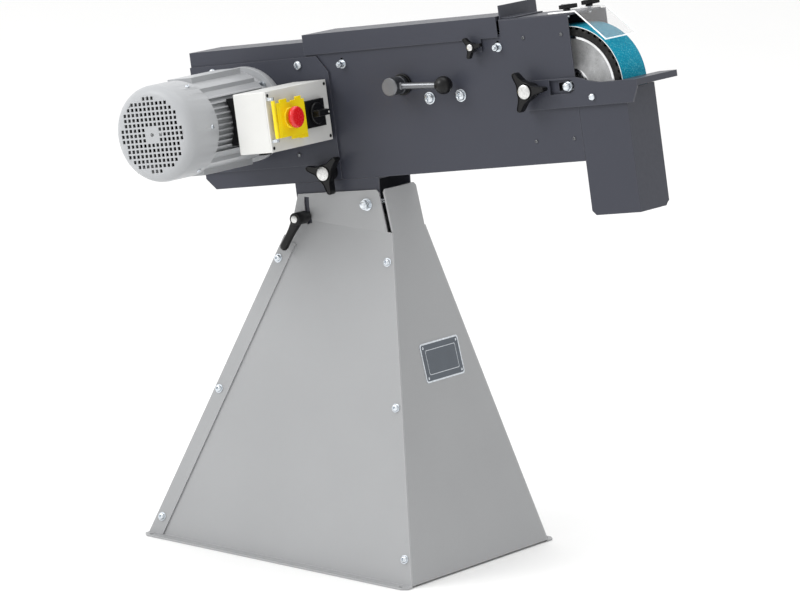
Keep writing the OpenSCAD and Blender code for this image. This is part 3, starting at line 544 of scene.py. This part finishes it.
# Sizes of the knobs: reach of the lobes, radius of the hub and radius of the tips
LARGE = (39, 16.5, 4.2)
COVER_SIZE = (21, 8, 3.2)
GUARD_SIZE = (19, 8, 3.2)
GUARD_KNOB_Z = 127.4
for node, size, turn in (
    ("rest_knob", LARGE, 2), ("tracking_knob", LARGE, 42), ("cover_knob", COVER_SIZE, 8)
):
    centre = on_axis(node + "_turn")
    foot_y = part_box(node)[1][1] / MM
    reach = size[0]
    star_knob(node, front(centre.x, centre.z, foot_y), *size, turn, reach * 0.28, reach * 0.45)

for node in ("guard_knob_front", "guard_knob_rear"):
    centre = on_axis(node + "_turn")
    at = HEAD @ Matrix.Translation((centre.x, centre.y, GUARD_KNOB_Z))
    star_knob(node, at, *GUARD_SIZE, turn=25, foot=4, head=7.2, cap_rise=0.8)

# ---------- fasteners ----------


def button_head(bm, matrix, r, h, recess, washer=0.0, washer_t=0.0):
    """Domed screw head on local Z = 0 with a recess given as a radius function."""
    verts = []
    if washer:
        verts += rings(bm, [
            (washer - 0.3, 0), (washer, 0.3), (washer, washer_t - 0.3), (washer - 0.3, washer_t)
        ], 48)
    z = washer_t
    verts += rings(bm, [
        (r * 0.96, z), (r, z + h * 0.12), (r * 0.99, z + h * 0.35), (r * 0.90, z + h * 0.66),
        (r * 0.74, z + h * 0.88), (r * 0.60, z + h * 0.98), (lambda a: recess(a) * 1.06, z + h),
        (recess, z + h - 0.25), (lambda a: recess(a) * 0.94, z + h * 0.35)
    ], 72)
    moved(verts, matrix)


def hex_part(bm, matrix, flats, z0, z1, bore=0.0):
    """Hexagon nut or head between two heights, with chamfered corners."""
    full = hexagon(flats)
    chamfer = flats * 0.5
    verts = rings(bm, [
        (lambda a: min(full(a), chamfer * 1.02), z0), (full, z0 + (z1 - z0) * 0.14),
        (full, z1 - (z1 - z0) * 0.14), (lambda a: min(full(a), chamfer * 1.02), z1),
        (max(bore, chamfer * 0.55), z1), (max(bore, chamfer * 0.55) * 0.9, z1 - 0.8)
    ], 72)
    moved(verts, matrix)


def threaded_end(bm, matrix, r, z0, z1, pitch=1.0):
    """Stud whose free length carries thread ridges and a chamfered tip."""
    stations = [(r * 0.93, z0)]
    steps = int((z1 - z0 - 1) / (pitch / 2))
    for i in range(steps):
        stations.append((r * (1.0 if i % 2 else 0.91), z0 + 0.3 + i * pitch / 2))
    stations += [(r * 0.9, z1 - 0.7), (r * 0.68, z1)]
    moved(rings(bm, stations, 32), matrix)


def flat_ring(bm, matrix, r_out, r_in, z0, z1):
    moved(tube(bm, [
        (r_in, z0), (r_out - 0.25, z0), (r_out, z0 + 0.25), (r_out, z1 - 0.25), (r_out - 0.25, z1), (r_in, z1)
    ], 64), matrix)


def rod(bm, matrix, r, z0, z1):
    moved(rings(bm, [(r * 0.94, z0), (r, z0 + 0.4), (r, z1 - 0.4), (r * 0.94, z1)], 32), matrix)


def fastener_set(name, bm, body, finish=zinc):
    """One piece of plated fasteners, which already stand in their places."""
    return piece(name, bm, IN_PLACE, body, "zinc", finish, smooth=32)


# Faces that the fasteners sit on: half widths of the head, the neck and the stand's foot, and its walls
HEAD_HALF = 47.5
FLANGE_Y = -HEAD_HALF - 4
MOTOR_X = -WHEEL_GAP
STAND_SHEET = 3.0
NECK_Z = 576.0
NECK_HALF = 52.0
STAND_HALF = 215.7
LEAN_Y = (STAND_HALF - NECK_HALF) / NECK_Z
# Places of the fasteners, as (x, z) in the frame of the stand or the head
SEAM_BOLTS = [(-119.8, 503), (-192.4, 266), (-262.2, 32), (108, 528), (182.5, 290), (259, 45)]
GUIDE_BOLTS_X = (-293, -227)
PLATEN_STUDS = [(-470, 73), (-137, 77)]
PLATE_SCREWS = [(-752, 78), (-563, 78), (-586, -80), (-752, -80)]
MOTOR_BOLTS = 4
MOTOR_BOLT_R = 71
PIVOT_R = 6


def at_seam(x, z, side_of):
    """Frame at a bolt point of the front (-1) or back (1) wall of the stand, Z outwards."""
    y = side_of * (STAND_HALF - LEAN_Y * z)
    turn = math.radians(side_of * (math.degrees(math.atan(LEAN_Y)) - 90))
    return WORLD @ Matrix.Translation((x, y, z)) @ Matrix.Rotation(turn, 4, "X")


def make_stand_bolts():
    bm = bmesh.new()
    for side_of in (-1, 1):
        for x, z in SEAM_BOLTS:
            lap = STAND_SHEET + 0.1 if x < 0 else 0.0
            seam = at_seam(x, z, side_of)
            outside = seam @ Matrix.Translation((0, 0, lap))
            button_head(bm, outside, 6.2, 4.2, hexagon(5.0), washer=8.0, washer_t=1.4)
            rod(bm, seam, 2.9, -13, lap)
            hex_part(bm, seam, 10, lap - 2 * STAND_SHEET - 5, lap - 2 * STAND_SHEET - 0.4, 2.9)
    return fastener_set("stand_bolt_set", bm, "stand")


def make_guide_bolts():
    bm = bmesh.new()
    for x in GUIDE_BOLTS_X:
        at = front(x, 0)
        head = at @ Matrix.Translation((0, 0, HEAD_HALF))
        button_head(bm, head, 9.0, 6.0, cross_radius(5.2, 1.3), washer=11.0, washer_t=1.6)
        rod(bm, at, 5, -HEAD_HALF - 9, HEAD_HALF + 1)
        flat_ring(bm, at, 9, 5, -HEAD_HALF + 11.5, HEAD_HALF - 2.5)
        flat_ring(bm, at, 7.4, 5, -HEAD_HALF + 2.5, -HEAD_HALF + 11.5)
        hex_part(bm, at @ Matrix.Rotation(math.pi, 4, "X"), 15, HEAD_HALF, HEAD_HALF + 8, 5)
    return fastener_set("guide_bolt_set", bm, "head")


def make_platen_studs():
    bm = bmesh.new()
    for x, z in PLATEN_STUDS:
        at = front(x, z)
        threaded_end(bm, at, 3, 34, HEAD_HALF + 16)
        flat_ring(bm, at, 8, 3, HEAD_HALF, HEAD_HALF + 1.6)
        hex_part(bm, at, 10, HEAD_HALF + 1.6, HEAD_HALF + 6.6, 3)
        turned_nut = at @ Matrix.Rotation(math.radians(22), 4, "Z")
        hex_part(bm, turned_nut, 10, HEAD_HALF + 7, HEAD_HALF + 12, 3)
    return fastener_set("platen_stud_set", bm, "head")


def make_plate_bolts():
    """Slotted screws on the plate's top edge, small ones on its lower edge, and the motor's four bolts."""
    small = bmesh.new()
    bm = bmesh.new()
    for i, (x, z) in enumerate(PLATE_SCREWS):
        at = front(x, z) @ Matrix.Rotation(math.radians(62 + 31 * i), 4, "Z")
        seat = at @ Matrix.Translation((0, 0, -FLANGE_Y))
        if z > 0:
            button_head(bm, seat, 8.0, 5.0, box_radius(7.2, 1.1))
        else:
            button_head(small, seat, 3.8, 2.4, cross_radius(2.3, 0.6))
        rod(bm, at, 3, HEAD_HALF - 5, -FLANGE_Y + 1)
    fastener_set("plate_screw_set", small, "head", dull_steel)
    for k in range(MOTOR_BOLTS):
        a = math.radians(45 + 360 / MOTOR_BOLTS * k)
        at = front(MOTOR_X + MOTOR_BOLT_R * math.cos(a), MOTOR_BOLT_R * math.sin(a))
        rod(bm, at, 4, HEAD_HALF - 3.5, -FLANGE_Y + 14)
        hex_part(bm, at, 12, -FLANGE_Y + 13, -FLANGE_Y + 18.5, 3)
    return fastener_set("motor_plate_bolt_set", bm, "head")


def make_pivot_bolt():
    bm = bmesh.new()
    pivot = joint_at("head_tilt")
    for side_of in (-1, 1):
        turn = Matrix.Rotation(math.radians(-90 * side_of), 4, "X")
        at = Matrix.Translation((pivot.x, 0, pivot.z)) @ turn @ WORLD
        flat_ring(bm, at, 11, PIVOT_R, NECK_HALF, NECK_HALF + 2)
        hex_part(bm, at, 16, NECK_HALF + 2, NECK_HALF + 10, PIVOT_R)
        free_end = NECK_HALF + (14 if side_of > 0 else 16)
        threaded_end(bm, at, PIVOT_R, NECK_HALF + 9, free_end, 1.2)
    at = Matrix.Translation((pivot.x, 0, pivot.z)) @ Matrix.Rotation(math.pi / 2, 4, "X") @ WORLD
    rod(bm, at, PIVOT_R, -NECK_HALF - 9, NECK_HALF + 9)
    return fastener_set("pivot_bolt_set", bm, "stand")


FACE_SCREWS = [(-83, 89), (-5, 89), (-83, -90), (-5, -90)]
# Fan cover and switch box, in the head frame
COVER_R = 85.0
COVER_SCREWS = 6
MOTOR_END_Y = -266.0
LID_X = MOTOR_X + 184
BOX_Y = (-240.0, -60.0)
BOX_Z = (-56.0, 50.0)


def make_face_screws():
    bm = bmesh.new()
    for x, z in FACE_SCREWS:
        at = front(x, z)
        button_head(bm, at @ Matrix.Translation((0, 0, HEAD_HALF)), 3.2, 2.0, cross_radius(2.0, 0.6))
        rod(bm, at, 1.8, HEAD_HALF - 7, HEAD_HALF + 0.5)
    fastener_set("face_screw_set", bm, "head", dull_steel)


def make_cover_screws():
    bm = bmesh.new()
    for k in range(COVER_SCREWS):
        turn = Matrix.Rotation(math.radians(30 + 360 / COVER_SCREWS * k), 4, "Y")
        at = HEAD @ Matrix.Translation((MOTOR_X, MOTOR_END_Y - 5, 0)) @ turn
        button_head(bm, at @ Matrix.Translation((0, 0, COVER_R)), 4.0, 2.4, cross_radius(2.3, 0.6))
        rod(bm, at, 2, 76.1, COVER_R + 0.4)
    screws = fastener_set("small_screw_set", bm, "head")
    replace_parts(screws, "small_screws")


def make_lid_screws():
    bm = bmesh.new()
    for y in (BOX_Y[0] + 6, BOX_Y[1] - 6):
        for z in (BOX_Z[0] + 7, BOX_Z[1] - 7):
            at = side(LID_X, y, z)
            moved(rings(bm, [
                (3.0, -0.1), (3.0, 0.5), (2.7, 0.8), (cross_radius(1.9, 0.5), 0.8),
                (cross_radius(1.8, 0.4), 0.1)
            ], 48), at)
    fastener_set("lid_screw_set", bm, "head", dark_recess)


def make_wheel_axle():
    bm = bmesh.new()
    at = front(0, 0)
    rod(bm, at, 10, -43, 40)
    threaded_end(bm, at, 6, 40, HEAD_HALF + 15, 1.2)
    flat_ring(bm, at, 14, 10, -42.0, -39.05)
    flat_ring(bm, at, 8.4, 6, HEAD_HALF + 5, HEAD_HALF + 7)
    hex_part(bm, at @ Matrix.Rotation(math.radians(14), 4, "Z"), 13, HEAD_HALF + 7, HEAD_HALF + 13, 6)
    return piece("wheel_axle_set", bm, IN_PLACE, "tension_slide", "steel", zinc, smooth=32)


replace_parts(make_stand_bolts(), "stand_bolts")
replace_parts(make_guide_bolts(), "guide_bolts")
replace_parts(make_platen_studs(), "platen_studs")
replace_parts(make_plate_bolts(), "motor_plate_bolts")
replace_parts(make_pivot_bolt(), "pivot_bolt")
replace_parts(make_wheel_axle(), "contact_axle")
make_face_screws()
make_cover_screws()
make_lid_screws()

# ---------- abrasive belt ----------

WHEEL_R = 100.0
BELT_GAP = 0.3
BELT_THICK = 1.2
BELT_HALF = 37.5
ARC_STEPS = 64
SPAN_STEPS = 40


def belt_path(offset):
    """Points of the loop over both wheels, in the head's X-Z plane."""
    r = WHEEL_R + BELT_GAP + offset
    points = []
    for i in range(ARC_STEPS + 1):
        a = math.pi / 2 - math.pi * i / ARC_STEPS
        points.append((r * math.cos(a), r * math.sin(a)))
    for i in range(1, SPAN_STEPS):
        points.append((-WHEEL_GAP * i / SPAN_STEPS, -r))
    for i in range(ARC_STEPS + 1):
        a = -math.pi / 2 - math.pi * i / ARC_STEPS
        points.append((MOTOR_X + r * math.cos(a), r * math.sin(a)))
    for i in range(1, SPAN_STEPS):
        points.append((MOTOR_X + WHEEL_GAP * i / SPAN_STEPS, r))
    return points


def make_belt():
    """Closed loop: grit outside, cloth inside and pale cut edges."""
    bm = bmesh.new()
    # Section of the belt as (height over the inside, y, material of the side that starts there)
    lane = [
        (BELT_THICK, -BELT_HALF + 0.25, 0), (BELT_THICK, BELT_HALF - 0.25, 2),
        (BELT_THICK - 0.25, BELT_HALF, 2), (0.0, BELT_HALF, 1), (0.0, -BELT_HALF, 2),
        (BELT_THICK - 0.25, -BELT_HALF, 2)
    ]
    rows = []
    for offset, y, _ in lane:
        rows.append([bm.verts.new((x, y, z)) for x, z in belt_path(offset)])
    count = len(rows[0])
    for k, (_, _, finish) in enumerate(lane):
        here, there = rows[k], rows[(k + 1) % len(lane)]
        for i in range(count):
            j = (i + 1) % count
            face = bm.faces.new((here[i], here[j], there[j], there[i]))
            face.material_index = finish
    return piece("belt_loop", bm, HEAD, "head", "abrasive", grit_face, belt_back, belt_edge, smooth=50)


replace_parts(make_belt(), "abrasive_belt")

# ---------- contact wheel ----------


def make_contact_wheel():
    """Cast wheel with a turned rim, a dished web near its front face and a stepped boss."""
    profile = [
        (84.9, -37.4, 1), (84.9, 36.6, 1), (84.1, 37.4, 1), (80.2, 37.4, 1), (79.4, 36.6, 1), (79.2, 27, 0),
        (77.5, 24.6, 0), (72, 23.4, 0), (60, 22.2, 0), (44, 22.6, 0), (36, 24.4, 0), (31, 27.6, 0),
        (28.6, 30.6, 0), (28, 31.4, 1), (27, 32, 1), (21.8, 32, 1), (21.02, 31.2, 1), (21.02, 17, 0),
        (13, 17, 0), (13, -17, 0), (21.02, -17, 0), (21.02, -31.2, 1), (21.8, -32, 1), (27, -32, 1),
        (28, -31, 0), (28.6, 11, 0), (34, 13.4, 0), (60, 13.0, 0), (74, 14.4, 0), (78.8, 17, 0),
        (79.2, 10, 0), (79.4, -36.6, 1), (80.2, -37.4, 1)
    ]
    bm = bmesh.new()
    tube(bm, [(r, z) for r, z, _ in profile], 128, [kind for _, _, kind in profile])
    return piece("wheel_casting", bm, front(0, 0), "contact_wheel", "cast_aluminium", aluminium, machined)


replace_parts(make_contact_wheel(), "contact_hub")

# ---------- levers ----------

LEVER = on_axis("tension_lever_turn")
LEVER_DROOP = 3.0
BALL_R = 16
BALL_STEPS = 23


def make_tension_lever():
    bm = bmesh.new()
    at = front(LEVER.x, LEVER.z)
    moved(rings(bm, [
        (7.9, HEAD_HALF + 3), (15.2, HEAD_HALF + 6), (16, HEAD_HALF + 7), (16, HEAD_HALF + 15),
        (15.5, HEAD_HALF + 15.4), (15.5, HEAD_HALF + 16.2), (16, HEAD_HALF + 16.6), (16, HEAD_HALF + 41.4),
        (14.6, HEAD_HALF + 43), (2, HEAD_HALF + 43.2)
    ], 72), at)
    rod(bm, at, 8, -35, HEAD_HALF + 8)
    rod(bm, at, 15.2, -38, -35)
    rod(bm, front(LEVER.x + 7.78, LEVER.z + 7.78), 4, -44, -37)
    hub = piece("tension_lever_hub", bm, IN_PLACE, "tension_lever", "zinc", dull_steel, smooth=34)
    droop = Matrix.Rotation(math.radians(90 + LEVER_DROOP), 4, "Y")
    arm = HEAD @ Matrix.Translation((LEVER.x, -HEAD_HALF - 27, LEVER.z)) @ droop
    bm = bmesh.new()
    moved(rings(bm, [(7.6, 14.2), (7.6, 17.0), (6.8, 18.0), (5.9, 18.6), (5.9, 84), (5.2, 90)], 40), arm)
    piece("tension_lever_rod", bm, IN_PLACE, "tension_lever", "steel", mid_steel, smooth=34)
    bm = bmesh.new()
    stations = [(6.4, -14.6), (7.2, -15.0)]
    for i in range(1, BALL_STEPS + 1):
        # The half step keeps the last ring off the pole
        a = math.radians(-64 + 154 * i / (BALL_STEPS + 0.5))
        stations.append((BALL_R * math.cos(a), BALL_R * math.sin(a)))
    moved(rings(bm, stations, 56), arm @ Matrix.Translation((0, 0, 104)))
    piece("tension_lever_ball", bm, IN_PLACE, "tension_lever", "black_plastic", black, smooth=50)
    return hub


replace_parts(make_tension_lever(), "tension_lever")

CLAMP_AIM = 244.0
GRIP_STEPS = 32
# Sections of the clamping lever's grip: distance from the hub, lift, half width and half thickness
GRIP_SECTIONS = [
    (2, 33.5, 10.2, 7.6), (12, 33.5, 9.2, 7.2), (24, 33.6, 7.6, 6.8), (37, 34.2, 6.9, 6.4),
    (50, 35.0, 7.1, 6.6), (60, 35.6, 7.3, 6.8), (64.5, 35.8, 5.8, 5.3), (67, 35.9, 1.8, 1.7)
]
CLAMP_TEETH = 24


def serrated(a):
    """Radius of the clamping lever's hub at an angle."""
    return 11.5 - 0.35 * (0.5 + 0.5 * math.cos(CLAMP_TEETH * a))


def make_clamp_lever():
    """Adjustable clamping lever: serrated hub, tapered grip that bends outwards, and a brushed metal button.
    """
    at_world = joint_at("clamp_lever_turn")
    base = Matrix.Translation((at_world.x, 0, at_world.z)) @ Matrix.Rotation(math.pi / 2, 4, "X") @ WORLD
    bm = bmesh.new()
    moved(rings(bm, [
        (7.6, NECK_HALF + 1), (8, NECK_HALF + 1.6), (8, NECK_HALF + 9), (10.6, NECK_HALF + 10),
        (serrated, NECK_HALF + 12), (serrated, NECK_HALF + 25), (11.5, NECK_HALF + 26.5),
        (11.3, NECK_HALF + 40.5), (10.2, NECK_HALF + 42), (7.2, NECK_HALF + 42.4)
    ], 96), base)
    grip = base @ Matrix.Rotation(math.radians(CLAMP_AIM), 4, "Z")
    verts = rings(bm, [(1.0, float(i)) for i in range(len(GRIP_SECTIONS))], GRIP_STEPS)
    for i, (along_grip, lift, half_w, half_t) in enumerate(GRIP_SECTIONS):
        for k in range(GRIP_STEPS):
            a = 2 * math.pi * k / GRIP_STEPS
            c, s = math.cos(a), math.sin(a)
            flat = math.copysign(abs(c) ** 0.75, c) * half_w
            high = math.copysign(abs(s) ** 0.75, s) * half_t
            verts[i * GRIP_STEPS + k].co = Vector((along_grip, flat, NECK_HALF + lift - 2 + high))
    moved(verts, grip)
    lever = piece("clamp_lever_grip", bm, IN_PLACE, "clamp_lever", "black_plastic", black, smooth=42)
    bm = bmesh.new()
    moved(rings(bm, [
        (6.0, NECK_HALF + 41.5), (6.5, NECK_HALF + 42.4), (6.5, NECK_HALF + 43.6), (5.4, NECK_HALF + 44.7),
        (0.5, NECK_HALF + 45)
    ], 48), base)
    piece("clamp_lever_button", bm, IN_PLACE, "clamp_lever", "zinc", silver_cap, smooth=42)
    return lever


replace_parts(make_clamp_lever(), "clamp_lever")

# ---------- screw on the work rest ----------


REST_SCREW = (46.6, -21.4)


def make_rest_screw():
    """Domed screw head at the front of the work rest."""
    bm = bmesh.new()
    face = -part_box("work_rest")[0].y / MM
    at = front(*REST_SCREW)
    cross = cross_radius(3.0, 0.7)
    moved(rings(bm, [
        (6.0, face - 4.5), (6.3, face - 4.0), (6.2, face - 2.6), (5.6, face - 1.0), (4.6, face),
        (cross, face + 0.5), (inset(cross, 0.15), face + 0.1)
    ], 72), at)
    fastener_set("rest_screw_head", bm, "work_rest")


make_rest_screw()

# ---------- cut edges of the clear guard ----------

GUARD_OUTLINE = [(-26, 125.3), (28.5, 125.3), (83.7, 74.0), (85.04, 75.39), (29.2, 127.2), (-26, 127.2)]
GUARD_HALF = HEAD_HALF


def make_guard_edges():
    bm = bmesh.new()
    for low, high in ((GUARD_HALF - 0.1, GUARD_HALF + 0.3), (-GUARD_HALF - 0.3, -GUARD_HALF + 0.1)):
        prism(bm, GUARD_OUTLINE, low, high)
    prism(bm, [(83, 73.2), (83.2, 73.0), (85.24, 75.19), (85.04, 75.39)], -GUARD_HALF, GUARD_HALF)
    piece("guard_cut_edge", bm, front(0, 0), "spark_guard", "clear_guard", frosted_guard_edge_glow)


make_guard_edges()

# ---------- switch box ----------

FLAP_X = LID_X + 12
STOP = Vector((FLAP_X, -196, -1))
DIAL = on_axis("selector_turn")
DIAL_X = LID_X + 9.3


def make_mushroom():
    bm = bmesh.new()
    rings(bm, [
        (7.8, -3), (8, -2.4), (8, 7), (9.5, 8.6), (14.0, 9.6), (17.4, 11.2), (18.8, 13.6), (19, 15.6),
        (18.9, 17.8), (18.2, 19.6), (16.8, 20.8), (14.6, 21.4), (10, 21.8), (5, 21.95), (0.4, 22)
    ], 80)
    at = side(*STOP)
    return piece("estop_head", bm, at, "estop_button", "red_plastic", red, smooth=60)


def make_flap():
    """Yellow flap with two tabs on top, a second layer, a hinge and a ring round the stop button."""
    bm = bmesh.new()
    plate = [
        (-230, -33), (-150, -33), (-150, 27), (-158, 27), (-158, 33), (-174, 33), (-174, 28), (-188, 28),
        (-188, 26), (-200, 26), (-200, 33), (-220, 33), (-220, 28), (-230, 28)
    ]
    verts = prism(bm, plate, 0.0, 3.0)
    verts += prism(bm, [(-160, -41), (-146, -41), (-146, 13), (-160, 13)], -11.0, 0.0)
    verts += prism(bm, [(-190, -39), (-160.5, -39), (-160.5, -29), (-190, -29)], -5.0, -0.4)
    verts += prism(bm, [(-225, -27), (-219, -27), (-219, 22), (-225, 22)], 3.0, 3.9)
    moved(verts, side(FLAP_X, 0, 0))
    knuckle = HEAD @ Matrix.Translation((FLAP_X - 1.5, -234, 0))
    moved(rings(bm, [(3.0, -33), (3.5, -32.4), (3.5, 32.4), (3.0, 33)], 32), knuckle)
    collar = side(*STOP)
    moved(tube(bm, [(8.1, 2.9), (17.5, 2.9), (17.5, 4.6), (16.6, 5.4), (9.4, 5.4), (8.1, 4.4)], 64), collar)
    return piece("flap_shell", bm, IN_PLACE, "estop_flap", "yellow_plastic", yellow, smooth=40, bevel=0.7)


def make_dial():
    at = side(DIAL_X, DIAL.y, DIAL.z)
    bm = bmesh.new()
    rings(bm, [
        (4, -9), (4, 0), (18.2, 0), (19, 0.8), (19, 3.6), (17.8, 5), (10, 5.3), (1, 5.3)
    ], 72)
    grip = [
        (box_radius(17.0, 6.6), 5.0), (box_radius(17.0, 6.4), 8.0), (box_radius(16.6, 5.6), 14.0),
        (box_radius(16.0, 5.2), 17.6), (box_radius(14.8, 4.2), 19.0)
    ]
    rings(bm, grip, 64)
    dial = piece("selector_grip", bm, at, "selector_knob", "black_plastic", black, smooth=34, bevel=0.6)
    bm = bmesh.new()
    rings(bm, [(1.7, 18.6), (1.7, 19.3), (1.3, 19.5), (0.2, 19.5)], 24)
    off_centre = at @ Matrix.Translation((12, 0, 0))
    piece("selector_dot", bm, off_centre, "selector_knob", "white_plastic", white)
    return dial


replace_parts(make_mushroom(), "estop_button")
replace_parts(make_flap(), "estop_flap")
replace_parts(make_dial(), "selector_knob")

# ---------- badge ----------

LEAN_X = math.atan(0.309)
BADGE_AT = (176.2, 14, 352)
# Layers from the plate up: half width, half height, corner radius, bottom, top and material
BADGE_LAYERS = [
    (35, 59, 6, 0.05, 0.80, 0), (32.0, 56.0, 4.0, 0.75, 0.95, 1), (22.0, 46.0, 3.0, 0.90, 1.15, 0),
    (21.0, 45.0, 2.4, 1.10, 1.20, 1)
]


def rounded_outline(half_x, half_y, r, steps=6):
    points = []
    for cx, cy, start in ((1, 1, 0), (-1, 1, 90), (-1, -1, 180), (1, -1, 270)):
        for i in range(steps + 1):
            a = math.radians(start + 90 * i / steps)
            points.append((cx * (half_x - r) + r * math.cos(a), cy * (half_y - r) + r * math.sin(a)))
    return points


def make_badge():
    """Blank plate: bright metal with a plain field, a raised frame line and a rivet in each corner."""
    at = WORLD @ Matrix.Translation(BADGE_AT) @ Matrix.Rotation(math.pi / 2 - LEAN_X, 4, "Y")
    bm = bmesh.new()
    for half_x, half_y, corner, low, high, material in BADGE_LAYERS:
        prism(bm, rounded_outline(half_x, half_y, corner), low, high, material)
    for x in (-27, 27):
        for y in (-51, 51):
            rivet = rings(bm, [(2.2, 0.9), (2.2, 1.3), (1.6, 1.8), (0.3, 2.0)], 24)
            moved(rivet, Matrix.Translation((x, y, 0)))
    return piece("badge_sheet", bm, at, "stand", "badge", zinc, badge_field)


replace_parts(make_badge(), "badge_plate")

# ---------- floor, light and camera ----------


FLOOR_HALF = 14.0
FLOOR_DROP = 0.0005


def make_floor():
    half = FLOOR_HALF
    corners = [(-half, -half, 0), (half, -half, 0), (half, half, 0), (-half, half, 0)]
    mesh = bpy.data.meshes.new("floor")
    mesh.from_pydata(corners, [], [(0, 1, 2, 3)])
    floor = bpy.data.objects.new("floor", mesh)
    bpy.context.scene.collection.objects.link(floor)
    f = Finish("floor_pale", (0.93, 0.93, 0.925), 0.75)
    f.paint(f.shades(3, 0.995, 1.0))
    mesh.materials.append(f.mat)
    floor.location.z = -FLOOR_DROP


def area_light(name, at, aim, size, power):
    data = bpy.data.lights.new(name, "AREA")
    data.size = size
    data.energy = power
    light = bpy.data.objects.new(name, data)
    light.location = at
    light.rotation_euler = (Vector(aim) - Vector(at)).to_track_quat("-Z", "Y").to_euler()
    bpy.context.scene.collection.objects.link(light)


# The surroundings are dimmer this way, so that faces turned to it read darker
DIM_SIDE = (0.97, -0.20, 0.10)
LIGHT_AIM = (0.0, 0.0, 0.6)


def make_light():
    world = bpy.data.worlds.new("studio")
    world.use_nodes = True
    tree = world.node_tree
    sky = tree.nodes["Background"]
    sky.inputs["Color"].default_value = (1.0, 1.0, 1.0, 1)
    where = tree.nodes.new("ShaderNodeTexCoord")
    towards = tree.nodes.new("ShaderNodeVectorMath")
    towards.operation = "DOT_PRODUCT"
    towards.inputs[1].default_value = DIM_SIDE
    dim = tree.nodes.new("ShaderNodeMapRange")
    dim.inputs["From Min"].default_value = 0.1
    dim.inputs["From Max"].default_value = 0.95
    dim.inputs["To Min"].default_value = 1.10
    dim.inputs["To Max"].default_value = 0.60
    tree.links.new(where.outputs["Generated"], towards.inputs[0])
    tree.links.new(towards.outputs["Value"], dim.inputs["Value"])
    tree.links.new(dim.outputs["Result"], sky.inputs["Strength"])
    bpy.context.scene.world = world
    area_light("key", (-2.6, -3.2, 3.6), LIGHT_AIM, 2.4, 105)
    area_light("fill", (4.2, -2.4, 1.6), LIGHT_AIM, 3.0, 14)
    area_light("top", (0.2, 0.6, 4.4), LIGHT_AIM, 3.0, 42)
    bpy.context.scene.view_settings.view_transform = "Standard"


CAMERA_AZIMUTH = 34.397
CAMERA_ELEVATION = 12.243
CAMERA_ROLL = 1.899
CAMERA_LENS = 250.27
CAMERA_DISTANCE = 9.948
CAMERA_AIM = (0.0118, 0.1177, 0.4168)


def make_camera():
    a, e, roll = (math.radians(v) for v in (CAMERA_AZIMUTH, CAMERA_ELEVATION, CAMERA_ROLL))
    back = Vector((math.sin(a) * math.cos(e), -math.cos(a) * math.cos(e), math.sin(e)))
    level = Vector((math.cos(a), math.sin(a), 0))
    upright = back.cross(level)
    right = level * math.cos(roll) + upright * math.sin(roll)
    up = upright * math.cos(roll) - level * math.sin(roll)
    data = bpy.data.cameras.new("camera")
    data.sensor_width = 36
    data.lens = CAMERA_LENS
    data.clip_end = 100
    camera = bpy.data.objects.new("camera", data)
    turn = Matrix((right, up, back)).transposed().to_4x4()
    camera.matrix_world = Matrix.Translation(Vector(CAMERA_AIM) + back * CAMERA_DISTANCE) @ turn
    bpy.context.scene.collection.objects.link(camera)
    bpy.context.scene.camera = camera


make_floor()
make_light()
make_camera()
